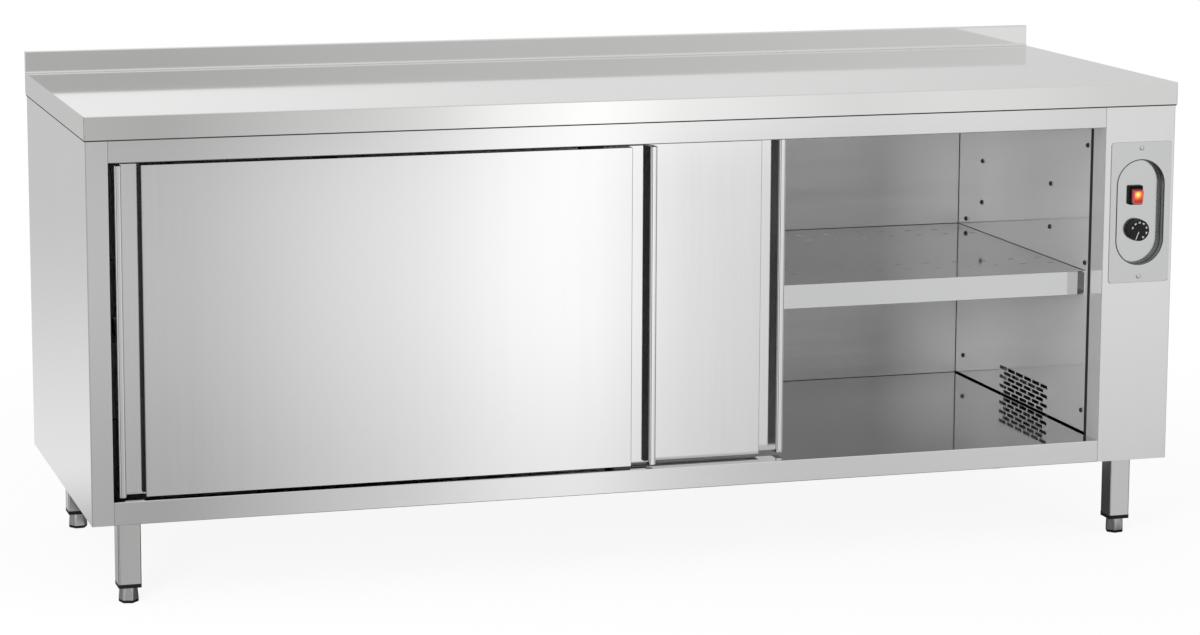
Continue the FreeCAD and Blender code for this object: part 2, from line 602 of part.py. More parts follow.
def shelf():
    """Shelf with folded front and back edges and four rows of small air slots."""
    tray = body("shelf", (LINING_LEFT + " + shelf_side_gap", SHELF_FRONT, "shelf_top - shelf_edge_height"))
    width = "(%s - %s - 2 * shelf_side_gap)" % (LINING_RIGHT, LINING_LEFT)
    pad(tray, outline(tray, "XY_Plane", corners(("0", width), ("0", SHELF_DEPTH))), "shelf_edge_height")
    under = corners(("-overrun", width + " + overrun"), ("gauge", SHELF_DEPTH + " - gauge"))
    pocket(tray, outline(tray, "XY_Plane", under), "shelf_edge_height - gauge", along=True)
    ends = blank_sketch(tray, "XY_Plane", "0")
    for left, right in (("-overrun", "shelf_rail_width"), (width + " - shelf_rail_width", width + " + overrun")):
        add_loop(ends, corners((left, right), ("-overrun", SHELF_DEPTH + " + overrun")))
    pocket(tray, ends, "shelf_edge_height - gauge", along=True)
    soften(tray, "fold_radius",
           lambda edge, around: runs(edge, 0) and at(edge, 1, around.YMin) and at(edge, 2, around.ZMax))
    slots = blank_sketch(tray, "XY_Plane", "shelf_edge_height + overrun")
    for low in ("shelf_front_row_inset", "shelf_front_row_inset + shelf_row_step",
                SHELF_DEPTH + " - shelf_row_inset - shelf_row_step", SHELF_DEPTH + " - shelf_row_inset"):
        add_loop(slots, corners(("shelf_slot_margin", "shelf_slot_margin + shelf_slot_length"),
                                (low, low + " + shelf_slot_width")))
    count = int((size("work_width") - size("post_width") - size("column_width")
                 - 2 * size("shelf_slot_margin")) / (size("shelf_slot_length") + size("shelf_slot_land"))) + 1
    repeat(tray, pocket(tray, slots, "gauge + 2 * overrun"), "X_Axis", count,
           "shelf_slot_length + shelf_slot_land")
    keep("shelf", tray)


def shelf_supports():
    """Channel rail on each side lining, held by two screws."""
    low = "(%s - shelf_rail_height)" % SHELF_UNDER
    opened = [("0", "0"), ("shelf_rail_width", "0"), ("shelf_rail_width", "shelf_rail_height"),
              ("0", "shelf_rail_height"), ("0", "shelf_rail_height - gauge"),
              ("shelf_rail_width - gauge", "shelf_rail_height - gauge"),
              ("shelf_rail_width - gauge", "gauge"), ("0", "gauge")]
    turned = [("shelf_rail_width - (%s)" % across, up) for across, up in opened]
    rails = []
    for name, left, profile in (("left_rail", LINING_LEFT, turned),
                                ("right_rail", LINING_RIGHT + " - shelf_rail_width", opened)):
        rail = body(name, (left, SHELF_FRONT + " + shelf_rail_setback", low))
        pad(rail, outline(rail, "XZ_Plane", profile), SHELF_DEPTH + " - 2 * shelf_rail_setback", against=True)
        holes = blank_sketch(rail, "YZ_Plane", "shelf_rail_width + overrun")
        for column in RAIL_COLUMNS:
            add_loop(holes, neck_hole("%s - %s - shelf_rail_setback" % (column, SHELF_FRONT),
                                      "rail_screw_low - " + low))
        pocket(rail, holes, "shelf_rail_width + 2 * overrun")
        rails.append(rail)
    keep("shelf_supports", group("shelf_supports", rails))


def screw(name, spot, rotation, inwards, head_height="screw_head_height"):
    """Screw whose head stands off a spot and whose square neck runs the other way."""
    head = prism(name + "_head", 8, "screw_head_radius", head_height, spot, rotation)
    turned = inwards.multiply(FreeCAD.Rotation(FreeCAD.Vector(0, 0, 1), 45))
    neck = prism(name + "_neck", 4, "screw_neck / 2 * 2 ^ 0.5", "screw_length", spot, turned)
    return fuse(name, [head, neck])


def wall_screws():
    """Screws of both side linings and of the shelf rails."""
    screws = []
    for face, on_web, rotation, inwards in ((LINING_LEFT, LINING_LEFT + " + gauge", ALONG_X, AGAINST_X),
                                            (LINING_RIGHT, LINING_RIGHT + " - gauge", AGAINST_X, ALONG_X)):
        for column, row, on_rail in screw_places():
            spot = (on_web if on_rail else face, column, row)
            screws.append(screw("wall_screw", spot, rotation, inwards))
    keep("wall_screws", group("wall_screws", screws))


LANES = {"front": DOOR_FRONT, "rear": DOOR_FRONT + " + door_lane_step"}
LANE_MIDDLE = {lane: "(%s + door_depth / 2)" % front for lane, front in LANES.items()}


def door_track():
    """Double track: a top plate, a hung ledge with a bead for each door, and a back web."""
    first, last = LANE_MIDDLE["front"], LANE_MIDDLE["rear"]
    span = (OPEN_LEFT, OPEN_RIGHT)
    rear_edge = CEILING_FRONT
    under = TRACK_TOP + " - track_wall"
    foot = LEDGE_TOP + " - track_wall"
    pieces = [box("track_plate", span, (first + " - lane_web_offset", rear_edge), (under, TRACK_TOP)),
              box("track_back", span, (rear_edge + " - track_wall", rear_edge), (foot, TRACK_TOP))]
    for middle in (first, last):
        web = middle + " - lane_web_offset"
        pieces.append(box("track_web", span, (web, web + " + track_wall"), (foot, TRACK_TOP)))
        pieces.append(box("track_ledge", span, (web, web + " + track_wall + track_ledge_depth"),
                          (foot, LEDGE_TOP)))
        bead = middle + " - hanger_thickness / 2 - roller_side_gap - roller_width / 2"
        pieces.append(rod("track_bead", "bead_radius", "%s - %s" % (OPEN_RIGHT, OPEN_LEFT),
                          (OPEN_LEFT, bead, LEDGE_TOP), ALONG_X))
    keep("door_track", fuse("door_track", pieces))


DOOR_LEFT = {"front": "(%s + front_door_offset)" % OPEN_LEFT, "rear": "(%s + rear_door_offset)" % OPEN_LEFT}


def door_skin(lane):
    """Outer shell of a door: main panel and a grip channel with a round lip at each edge."""
    height = "(%s - %s)" % (DOOR_TOP, DOOR_BASE)
    skin = body(lane + "_door_skin", (DOOR_LEFT[lane], LANES[lane], DOOR_BASE))
    inner_edge = "(grip_lip + grip_width)"
    outer = [("0", "0"), ("grip_lip", "0"), ("grip_lip", "grip_depth"), (inner_edge, "grip_depth"),
             (inner_edge, "0"), (DOOR_WIDTH + " - " + inner_edge, "0"),
             (DOOR_WIDTH + " - " + inner_edge, "grip_depth"), (DOOR_WIDTH + " - grip_lip", "grip_depth"),
             (DOOR_WIDTH + " - grip_lip", "0"), (DOOR_WIDTH, "0"), (DOOR_WIDTH, "door_depth"),
             ("0", "door_depth")]
    pad(skin, outline(skin, "XY_Plane", outer), height)
    skin_in = inner_edge + " + door_gauge"
    floor = "grip_depth + door_gauge"
    inner = [("door_gauge", "door_gauge"), ("grip_lip - door_gauge", "door_gauge"),
             ("grip_lip - door_gauge", floor), (skin_in, floor), (skin_in, "door_gauge"),
             ("%s - (%s)" % (DOOR_WIDTH, skin_in), "door_gauge"), ("%s - (%s)" % (DOOR_WIDTH, skin_in), floor),
             (DOOR_WIDTH + " - grip_lip + door_gauge", floor),
             (DOOR_WIDTH + " - grip_lip + door_gauge", "door_gauge"),
             (DOOR_WIDTH + " - door_gauge", "door_gauge"),
             (DOOR_WIDTH + " - door_gauge", "door_depth + overrun"), ("door_gauge", "door_depth + overrun")]
    pocket(skin, outline(skin, "XY_Plane", inner, "door_gauge"), height + " - 2 * door_gauge", along=True)
    slot = corners((inner_edge + " + door_gauge", "%s - %s - door_gauge" % (DOOR_WIDTH, inner_edge)),
                   ("(door_depth - guide_slot_width) / 2", "(door_depth + guide_slot_width) / 2"))
    pocket(skin, outline(skin, "XY_Plane", slot, "2 * door_gauge"), "2 * door_gauge + overrun")
    lip = size("grip_lip")
    channel = lip + size("grip_width")
    soften(skin, "lip_radius", lambda edge, around: runs(edge, 2) and at(edge, 1, around.YMin)
           and any(at(edge, 0, place) for place in (0, lip, around.XMax - lip, around.XMax)))
    soften(skin, "panel_edge_radius", lambda edge, around: runs(edge, 2) and at(edge, 1, around.YMin)
           and any(at(edge, 0, place) for place in (channel, around.XMax - channel)))
    keep(lane + "_door_skin", skin)


def door_liner(lane):
    """Back sheet of a door with a fold at its top and bottom."""
    height = "(%s - %s - 2 * door_gauge)" % (DOOR_TOP, DOOR_BASE)
    channel = "(grip_lip + grip_width + 2 * door_gauge)"
    left = DOOR_LEFT[lane] + " + door_gauge"
    rear = LANES[lane] + " + door_depth"
    low, high = DOOR_BASE + " + door_gauge", DOOR_TOP + " - door_gauge"
    sheet = box(lane + "_liner_sheet", (left, left + " + %s - 2 * door_gauge" % DOOR_WIDTH),
                (rear + " - door_gauge", rear), (low, high))
    fold_x = (DOOR_LEFT[lane] + " + " + channel, "%s + %s - %s" % (DOOR_LEFT[lane], DOOR_WIDTH, channel))
    fold_y = (rear + " - door_gauge - liner_flange", rear)
    top_fold = box(lane + "_liner_top", fold_x, fold_y, (high + " - door_gauge", high))
    low_fold = box(lane + "_liner_bottom", fold_x, fold_y, (low, low + " + door_gauge"))
    keep(lane + "_door_liner", fuse(lane + "_door_liner", [sheet, top_fold, low_fold]))


def hanger_centres(lane):
    """Middle of a door's two hangers along X."""
    return {"left": DOOR_LEFT[lane] + " + hanger_inset",
            "right": "%s + %s - hanger_inset" % (DOOR_LEFT[lane], DOOR_WIDTH)}


def door_hangers(lane):
    """Two angle brackets on the door's top edge, each with a riveted axle."""
    hangers = []
    middle = LANE_MIDDLE[lane]
    front_face = middle + " - hanger_thickness / 2"
    for centre in hanger_centres(lane).values():
        span = (centre + " - hanger_width / 2", centre + " + hanger_width / 2")
        foot = box("hanger_foot", span, (middle + " - hanger_foot_depth / 2", middle + " + hanger_foot_depth / 2"),
                   (DOOR_TOP, DOOR_TOP + " + hanger_thickness"))
        plate = box("hanger_plate", span, (front_face, front_face + " + hanger_thickness"),
                    (DOOR_TOP, ROLLER_HEIGHT + " + hanger_head_height"))
        reach = "roller_width + 2 * roller_side_gap"
        axle = rod("hanger_axle", "axle_radius", reach, (centre, front_face, ROLLER_HEIGHT), AGAINST_Y)
        head = prism("axle_head", 12, "axle_head_radius", "axle_head_thickness",
                     (centre, "%s - (%s)" % (front_face, reach), ROLLER_HEIGHT), AGAINST_Y)
        hangers.append(fuse("hanger", [foot, plate, axle, head]))
    keep(lane + "_door_hangers", group(lane + "_door_hangers", hangers))


def door_rollers(lane):
    """Wheel on each axle, turned from one profile."""
    bore = "axle_radius + axle_clearance"
    profile = corners((bore, "roller_radius"), ("0", "roller_width"))
    start = LANE_MIDDLE[lane] + " - hanger_thickness / 2 - roller_side_gap - roller_width"
    for side, centre in hanger_centres(lane).items():
        wheel = body("%s_roller_%s" % (lane, side), (centre, start, ROLLER_HEIGHT))
        revolve(wheel, outline(wheel, "XY_Plane", profile))
        keep(wheel.Name, wheel)


def revolve(owner, sketch):
    """Full turn of a half profile about the sketch's upright axis."""
    feature = owner.newObject("PartDesign::Revolution", owner.Name + "_revolution")
    feature.Profile = sketch
    feature.ReferenceAxis = (sketch, ["V_Axis"])
    feature.Angle = 360
    return feature


def door_buffers():
    """Rubber stops under the track's top plate, one at each end of both doors' travel."""
    stops = []
    for lane in LANES:
        depth = (LANE_MIDDLE[lane] + " - buffer_depth / 2", LANE_MIDDLE[lane] + " + buffer_depth / 2")
        top = TRACK_TOP + " - track_wall"
        edge = "hanger_inset - hanger_width / 2 - running_gap"
        left = "%s + %s_door_left_gap + %s" % (OPEN_LEFT, lane, edge)
        right = "%s - %s_door_right_gap - (%s)" % (OPEN_RIGHT, lane, edge)
        for span in ((left + " - buffer_length", left), (right, right + " + buffer_length")):
            stops.append(box("stop", span, depth, (top + " - buffer_height", top)))
    keep("door_buffers", group("door_buffers", stops))


def bottom_guide():
    """Slide block screwed to the floor, with a fin in the slot of each door's lower edge."""
    centre = "((%s + %s) / 2 - guide_shift)" % (OPEN_LEFT, OPEN_RIGHT)
    span = (centre + " - guide_length / 2", centre + " + guide_length / 2")
    fin_span = (centre + " - guide_fin_length / 2", centre + " + guide_fin_length / 2")
    front, rear = LANE_MIDDLE["front"], LANE_MIDDLE["rear"]
    pieces = [box("guide_base", span, (front + " - hanger_foot_depth / 2", rear + " + hanger_foot_depth / 2"),
                  (FLOOR, FLOOR + " + guide_base_height"))]
    for middle in (front, rear):
        pieces.append(box("guide_fin", fin_span,
                          (middle + " - guide_fin_thickness / 2", middle + " + guide_fin_thickness / 2"),
                          (FLOOR, FLOOR + " + guide_fin_height")))
    keep("bottom_guide", fuse("bottom_guide", pieces))


def control_bezel():
    """Pressed control plate with a drawn, round-ended recess for switch and knob."""
    bottom = BEZEL_TOP + " - bezel_height"
    plate = body("bezel_plate", (BEZEL_CENTRE + " - bezel_width / 2", FRONT, bottom))
    face = corners(("0", "bezel_width"), ("0", "bezel_height"))
    pad(plate, outline(plate, "XZ_Plane", face), "bezel_thickness")
    soften(plate, "bezel_corner_radius", lambda edge, around: runs(edge, 1))
    soften(plate, "bezel_edge_chamfer", lambda edge, around: at(edge, 1, around.YMin), "Chamfer", "Size")
    tub = stadium("bezel_tub", "recess_width + 2 * recess_wall", "recess_height + 2 * recess_wall",
                  "recess_depth - bezel_thickness + recess_wall", (BEZEL_CENTRE, FRONT, RECESS_CENTRE))
    shell = fuse("bezel_shell", [plate, tub])
    hollow = stadium("bezel_recess", "recess_width", "recess_height", "recess_depth + overrun",
                     (BEZEL_CENTRE, BEZEL_FRONT + " - overrun", RECESS_CENTRE))
    wall = "recess_wall + 2 * overrun"
    behind = RECESS_FLOOR + " - overrun"
    openings = [hollow,
                box("switch_window", (BEZEL_CENTRE + " - switch_body_width / 2 - rocker_clearance",
                                      BEZEL_CENTRE + " + switch_body_width / 2 + rocker_clearance"),
                    (behind, "%s + %s" % (behind, wall)),
                    (SWITCH_CENTRE + " - switch_body_height / 2 - rocker_clearance",
                     SWITCH_CENTRE + " + switch_body_height / 2 + rocker_clearance")),
                rod("bushing_hole", "bushing_radius + shaft_clearance", wall,
                    (BEZEL_CENTRE, behind, KNOB_CENTRE), ALONG_Y)]
    openings += [square_hole("bezel_hole", drop) for drop in SCREW_DROPS]
    keep("control_bezel", cut("control_bezel", shell, openings))
    screws = [screw("bezel_screw", (BEZEL_CENTRE, BEZEL_FRONT, "%s - %s" % (BEZEL_TOP, drop)), AGAINST_Y,
                    ALONG_Y, "bezel_screw_head_height")
              for drop in SCREW_DROPS]
    keep("bezel_screws", group("bezel_screws", screws))


def rocker_switch():
    """Switch housing with its raised frame, and the rocker that tips in it."""
    frame = body("switch_frame", (BEZEL_CENTRE + " - switch_width / 2", RECESS_FLOOR,
                                  SWITCH_CENTRE + " - switch_height / 2"))
    face = corners(("0", "switch_width"), ("0", "switch_height"))
    pad(frame, outline(frame, "XZ_Plane", face), "switch_frame_depth")
    soften(frame, "switch_corner_radius", lambda edge, around: runs(edge, 1))
    across = (BEZEL_CENTRE + " - switch_body_width / 2", BEZEL_CENTRE + " + switch_body_width / 2")
    up = (SWITCH_CENTRE + " - switch_body_height / 2", SWITCH_CENTRE + " + switch_body_height / 2")
    case = box("switch_case", across, (RECESS_FLOOR, RECESS_FLOOR + " + switch_body_depth"), up)
    hole = [(BEZEL_CENTRE + " - rocker_width / 2 - rocker_clearance / 2",
             BEZEL_CENTRE + " + rocker_width / 2 + rocker_clearance / 2"),
            (RECESS_FLOOR + " - switch_frame_depth - overrun",
             RECESS_FLOOR + " + rocker_back + 2 * switch_wall"),
            (SWITCH_CENTRE + " - rocker_height / 2 - rocker_clearance - switch_wall / 2",
             SWITCH_CENTRE + " + rocker_height / 2 + rocker_clearance + switch_wall / 2")]
    keep("switch_housing", cut("switch_housing", fuse("switch_shell", [frame, case]),
                               [box("switch_well", *hole)]))
    rocker = body("switch_rocker", (BEZEL_CENTRE + " - rocker_width / 2",
                                    RECESS_FLOOR + " - rocker_pivot_depth", SWITCH_CENTRE))
    rocker.Placement.Rotation = FreeCAD.Rotation(FreeCAD.Vector(1, 0, 0), size("rocker_tilt"))
    bind(rocker, "Placement.Rotation.Angle", "rocker_tilt")
    end, back = "(rocker_height / 2)", "(rocker_back_height / 2)"
    profile = [("-rocker_nose", "0"), ("-rocker_nose - rocker_end_rise", "-" + end), ("0", "-" + end),
               ("rocker_back", "-" + back), ("rocker_back", back), ("0", end),
               ("-rocker_nose - rocker_end_rise", end)]
    pad(rocker, outline(rocker, "YZ_Plane", profile), "rocker_width")
    keep("switch_rocker", rocker)


def thermostat():
    """Thermostat behind the recess, its shaft, and the knob on the shaft."""
    half = "thermostat_width / 2"
    case = body("thermostat_case", (BEZEL_CENTRE + " - " + half, RECESS_FLOOR + " + recess_wall",
                                    KNOB_CENTRE + " - " + half))
    pad(case, outline(case, "XZ_Plane", corners(("0", "thermostat_width"), ("0", "thermostat_width"))),
        "thermostat_depth", against=True)
    bushing = rod("thermostat_bushing", "bushing_radius", "recess_wall + thermostat_depth / 2",
                  (BEZEL_CENTRE, RECESS_FLOOR, KNOB_CENTRE), ALONG_Y)
    bore = rod("thermostat_bore", "shaft_radius + shaft_clearance", "thermostat_depth + 2 * overrun",
               (BEZEL_CENTRE, RECESS_FLOOR + " - overrun", KNOB_CENTRE), ALONG_Y)
    keep("thermostat_body", cut("thermostat_body", fuse("thermostat_shell", [case, bushing]), [bore]))
    knob_back = RECESS_FLOOR + " - knob_gap"
    keep("thermostat_shaft", rod("thermostat_shaft", "shaft_radius", "shaft_length",
                                 (BEZEL_CENTRE, knob_back + " - shaft_knob_length", KNOB_CENTRE), ALONG_Y))
    knob = body("thermostat_knob", (BEZEL_CENTRE, knob_back + " - knob_depth", KNOB_CENTRE))
    bore_radius = "(shaft_radius + shaft_clearance)"
    stop = "(knob_depth - shaft_knob_length)"
    profile = [("0", "0"), ("knob_radius - knob_chamfer", "0"), ("knob_radius", "knob_chamfer"),
               ("knob_radius", "knob_depth"), (bore_radius, "knob_depth"), (bore_radius, stop), ("0", stop)]
    revolve(knob, outline(knob, "XY_Plane", profile))
    keep("thermostat_knob", knob)


def blower_housing():
    """Scroll, duct floor, tongue and two end plates of the cross-flow blower."""
    inner = LINING_RIGHT + " + gauge"
    length = (BLOWER_Y, BLOWER_Y + " + housing_length")
    rings = []
    for name, radius, start in (("scroll_outside", "scroll_radius", BLOWER_Y),
                                ("scroll_inside", "scroll_radius - scroll_gauge", BLOWER_Y + " - overrun")):
        ring = rod(name, radius, "housing_length" if name == "scroll_outside" else "housing_length + 2 * overrun",
                   (BLOWER_X, start, BLOWER_Z), ALONG_Y)
        bind(ring, "Angle", "scroll_sweep")
        rings.append(ring)
    scroll = cut("scroll", rings[0], [rings[1]])
    base = BLOWER_Z + " - scroll_radius"
    duct = box("duct_floor", (inner, BLOWER_X), length, (base, base + " + scroll_gauge"))
    tongue_z = "%s + tongue_lift" % FLOOR
    tongue = box("tongue", (inner, inner + " + tongue_length"), length, (tongue_z, tongue_z + " + scroll_gauge"))
    lip = box("tongue_lip", (inner + " + tongue_length - scroll_gauge", inner + " + tongue_length"), length,
              (tongue_z, tongue_z + " + tongue_height"))
    pieces = [scroll, duct, tongue, lip]
    for start in (BLOWER_Y + " - scroll_gauge", BLOWER_Y + " + housing_length"):
        plate = box("blower_end", (inner, inner + " + housing_width"), (start, start + " + scroll_gauge"),
                    (FLOOR, FLOOR + " + housing_height"))
        hole = rod("bearing_hole", "blower_shaft_radius + shaft_clearance", "scroll_gauge + 2 * overrun",
                   (BLOWER_X, start + " - overrun", BLOWER_Z), ALONG_Y)
        pieces.append(cut("blower_end_plate", plate, [hole]))
    keep("blower_housing", fuse("blower_housing", pieces))


def blower_impeller():
    """Cage of set blades between end discs, on a through shaft."""
    start = BLOWER_Y + " + impeller_end_gap"
    length = "(housing_length - 2 * impeller_end_gap)"
    cage = body("impeller_cage", (BLOWER_X, start, BLOWER_Z))
    blade_foot = "(impeller_radius - blade_length)"
    middle = "(impeller_radius - blade_length / 2)"
    blade = [(blade_foot, "0"), (middle, "blade_set / 2"), ("impeller_radius - blade_thickness", "0"),
             ("impeller_radius - blade_thickness", "blade_thickness"),
             (middle, "blade_set / 2 + blade_thickness"), (blade_foot, "blade_thickness")]
    wing = pad(cage, outline(cage, "XZ_Plane", blade), length, against=True)
    DOC.recompute()
    fan = cage.newObject("PartDesign::PolarPattern", "blades")
    cage.AllowCompound = True
    fan.Originals = [wing]
    fan.Axis = (origin_part(cage, "Y_Axis"), [""])
    fan.Angle = 360
    fan.Occurrences = 20
    cage.Tip = fan
    discs = [prism("impeller_disc", 20, "impeller_radius", "impeller_disc", (BLOWER_X, level, BLOWER_Z), AGAINST_Y)
             for level in (start + " + impeller_disc", start + " + " + length)]
    hub = prism("impeller_hub", 12, "hub_radius", "hub_radius", (BLOWER_X, start, BLOWER_Z), ALONG_Y)
    shaft = rod("impeller_shaft", "blower_shaft_radius", length + " + 2 * shaft_overhang + motor_length / 2",
                (BLOWER_X, start + " - shaft_overhang", BLOWER_Z), ALONG_Y)
    keep("blower_impeller", fuse("blower_impeller", [cage, hub, shaft] + discs))


def blower_motor():
    """Motor block on the rear end plate, bored for the impeller's shaft."""
    half = "motor_width / 2"
    block = body("motor_block", (BLOWER_X + " - " + half, BLOWER_Y + " + housing_length + scroll_gauge",
                                 BLOWER_Z + " - " + half))
    pad(block, outline(block, "XZ_Plane", corners(("0", "motor_width"), ("0", "motor_width"))),
        "motor_length", against=True)
    bore = rod("motor_bore", "blower_shaft_radius + shaft_clearance", "motor_length + 2 * overrun",
               (BLOWER_X, BLOWER_Y + " + housing_length", BLOWER_Z), ALONG_Y)
    keep("blower_motor", cut("blower_motor", block, [bore]))


def heating_element():
    """Three straight heater rods held by a bracket at each end of the outlet duct."""
    x = LINING_RIGHT + " + gauge + heater_setback"
    low = "(%s + heater_lift)" % FLOOR
    end = BLOWER_Y + " + housing_length"
    pieces = [rod("heater_rod", "heater_radius", "housing_length",
                  (x, BLOWER_Y, "%s + %d * heater_step" % (low, number)), ALONG_Y) for number in range(3)]
    for start in (BLOWER_Y, end + " - heater_bracket_gauge"):
        pieces.append(box("heater_bracket", (x + " - heater_bracket_width / 2", x + " + heater_bracket_width / 2"),
                          (start, start + " + heater_bracket_gauge"),
                          (low + " - heater_bracket_margin", low + " + 2 * heater_step + heater_bracket_margin")))
    keep("heating_element", fuse("heating_element", pieces))


def terminal_block():
    """Mains terminal strip on the floor of the service space."""
    right = RIGHT + " - terminal_inset"
    start = "(work_depth / 2 - terminal_back)"
    width = (right + " - terminal_width", right)
    pieces = [box("terminal_base", width, (start, start + " + terminal_length"),
                  (FLOOR, FLOOR + " + terminal_base"))]
    count = size("terminal_poles")
    for number in range(count + 1):
        rib = "(%s + %d * (terminal_length - terminal_rib_thickness) / %d)" % (start, number, count)
        pieces.append(box("terminal_rib", width, (rib, rib + " + terminal_rib_thickness"),
                          (FLOOR, FLOOR + " + terminal_base + terminal_rib")))
    keep("terminal_block", fuse("terminal_block", pieces))


def cable_gland():
    """Cable gland through the floor of the service space, open right through."""
    low = "(%s - gauge - gland_nut_height)" % FLOOR
    pieces = [rod("gland_thread", "gland_thread_radius", "2 * gland_nut_height + gauge", (GLAND_X, GLAND_Y, low)),
              prism("gland_lock_nut", 6, "gland_nut_radius", "gland_nut_height", (GLAND_X, GLAND_Y, FLOOR)),
              prism("gland_collar", 6, "gland_nut_radius", "gland_nut_height", (GLAND_X, GLAND_Y, low))]
    bore = rod("gland_bore", "gland_bore_radius", "3 * gland_nut_height + 2 * overrun",
               (GLAND_X, GLAND_Y, low + " - overrun"))
    keep("cable_gland", cut("cable_gland", fuse("gland_body", pieces), [bore]))


LEG_X = "(work_width / 2 - leg_side_inset - leg_width / 2)"
LEG_Y = "(work_depth / 2 - leg_end_inset - leg_width / 2)"
LEGS = {"front_left": ("-", "-"), "front_right": ("", "-"), "rear_left": ("-", ""), "rear_right": ("", "")}


def leg_centre(corner):
    """Middle of a leg as a pair of formulas."""
    across, along = LEGS[corner]
    return across + LEG_X, along + LEG_Y


def leg_post(name, corner, width, low, height, radius):
    """Upright square bar with round edges, centred on a leg."""
    x, y = leg_centre(corner)
    post = body(name, (x + " - (%s) / 2" % width, y + " - (%s) / 2" % width, low))
    pad(post, outline(post, "XY_Plane", corners(("0", width), ("0", width))), height)
    soften(post, radius, lambda edge, around: runs(edge, 2))
    return post


def legs():
    """Four square tubes with plates, end caps and screw feet."""
    plate_low = FLOOR + " - gauge - leg_plate_thickness"
    plates, caps = [], []
    for corner in LEGS:
        x, y = leg_centre(corner)
        tube = leg_post("leg_" + corner, corner, "leg_width", "leg_bottom", "%s - leg_bottom" % plate_low,
                        "leg_corner_radius")
        inner = ("leg_wall", "leg_width - leg_wall")
        pocket(tube, outline(tube, "XY_Plane", corners(inner, inner)), "%s - leg_bottom" % plate_low, along=True)
        keep("leg_" + corner, tube)
        half = "leg_plate_width / 2"
        plates.append(box("leg_plate", (x + " - " + half, x + " + " + half), (y + " - " + half, y + " + " + half),
                          (plate_low, plate_low + " + leg_plate_thickness")))
        skirt = leg_post("cap_skirt", corner, "leg_width", "leg_bottom - cap_height", "cap_height",
                         "leg_corner_radius")
        half_plug = "(leg_width / 2 - leg_wall - cap_clearance)"
        plug = box("cap_plug", (x + " - " + half_plug, x + " + " + half_plug),
                   (y + " - " + half_plug, y + " + " + half_plug), ("leg_bottom", "leg_bottom + cap_plug_height"))
        bore = prism("cap_bore", 12, "spindle_radius + spindle_clearance",
                     "cap_height + cap_plug_height + 2 * overrun", (x, y, "leg_bottom - cap_height - overrun"))
        caps.append(cut("leg_cap", fuse("cap_body", [skirt, plug]), [bore]))
        foot(corner)
    keep("leg_plates", group("leg_plates", plates))
    keep("leg_caps", group("leg_caps", caps))


def foot(corner):
    """Six-sided metal sleeve with a screw spindle, on a black pad."""
    x, y = leg_centre(corner)
    sleeve = prism("sleeve", 6, "foot_circumradius", "leg_bottom - cap_height - pad_height", (x, y, "pad_height"))
    spindle = prism("spindle", 12, "spindle_radius", "spindle_length", (x, y, "leg_bottom - cap_height"))
    keep("foot_" + corner, fuse("foot_" + corner, [sleeve, spindle]))
    keep("foot_pad_" + corner, prism("foot_pad_" + corner, 6, "foot_circumradius", "pad_height", (x, y, "0")))


def build():
    """Every sub-part, in the order in which the cabinet goes together."""
    fill_sheet()
    worktop()
    worktop_stiffeners()
    side_panels()
    control_fascia()
    top_rail()
    floor_panel()
    back_panels()
    side_linings()
    ceiling_and_insulation()
    shelf()
    shelf_supports()
    wall_screws()
    door_track()
    for lane in LANES:
        door_skin(lane)
        door_liner(lane)
        door_hangers(lane)
        door_rollers(lane)
    door_buffers()
    bottom_guide()
    control_bezel()
    rocker_switch()
    thermostat()
    blower_housing()
    blower_impeller()
    blower_motor()
    heating_element()
    terminal_block()
    cable_gland()
    legs()
    DOC.recompute()


def write_parts():
    """One file for each sub-part, after every object and shape has been checked."""
    for item in DOC.Objects:
        if "Invalid" in item.State or "Error" in item.State:
            raise RuntimeError("%s: %s" % (item.Label, item.State))
    os.makedirs("parts", exist_ok=True)
    for node in NODES:
        if node.Shape.isNull() or not node.Shape.isValid() or not node.Shape.Solids:
            raise RuntimeError(node.Label + ": no valid shape")
    for node in NODES:
        node.Shape.exportStep(os.path.join("parts", node.Label + ".step"))
        print("%-24s solids %2d volume %12.1f" % (node.Label, len(node.Shape.Solids), node.Shape.Volume))
    print(len(NODES), "sub-parts")


build()
write_parts()
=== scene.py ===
"""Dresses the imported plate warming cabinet: finishes, finer pieces, studio and camera."""
import json
import logging
import math
from dataclasses import dataclass, field
from enum import Enum
from typing import Callable, Iterable, Optional, Sequence

import bmesh
import bpy
from mathutils import Matrix, Vector, noise


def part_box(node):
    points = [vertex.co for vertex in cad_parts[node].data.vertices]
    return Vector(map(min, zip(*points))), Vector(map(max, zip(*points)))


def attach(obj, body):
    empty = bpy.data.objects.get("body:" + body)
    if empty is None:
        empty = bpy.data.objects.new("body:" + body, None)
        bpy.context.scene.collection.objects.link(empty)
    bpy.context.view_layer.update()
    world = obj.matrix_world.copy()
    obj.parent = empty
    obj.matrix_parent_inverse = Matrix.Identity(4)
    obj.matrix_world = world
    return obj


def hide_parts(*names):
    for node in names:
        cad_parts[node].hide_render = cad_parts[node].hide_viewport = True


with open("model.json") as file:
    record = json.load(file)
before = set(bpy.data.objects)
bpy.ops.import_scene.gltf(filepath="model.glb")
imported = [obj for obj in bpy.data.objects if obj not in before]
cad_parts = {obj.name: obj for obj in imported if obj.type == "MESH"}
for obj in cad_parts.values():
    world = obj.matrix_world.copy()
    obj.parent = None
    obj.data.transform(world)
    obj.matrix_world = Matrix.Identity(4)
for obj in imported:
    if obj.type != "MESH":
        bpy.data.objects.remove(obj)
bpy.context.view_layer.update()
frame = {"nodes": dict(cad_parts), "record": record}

LOG = logging.getLogger("cabinet")

# Distances in metres under which two places count as one
HAIR = 0.0001
NEAR = 0.0002


# Names

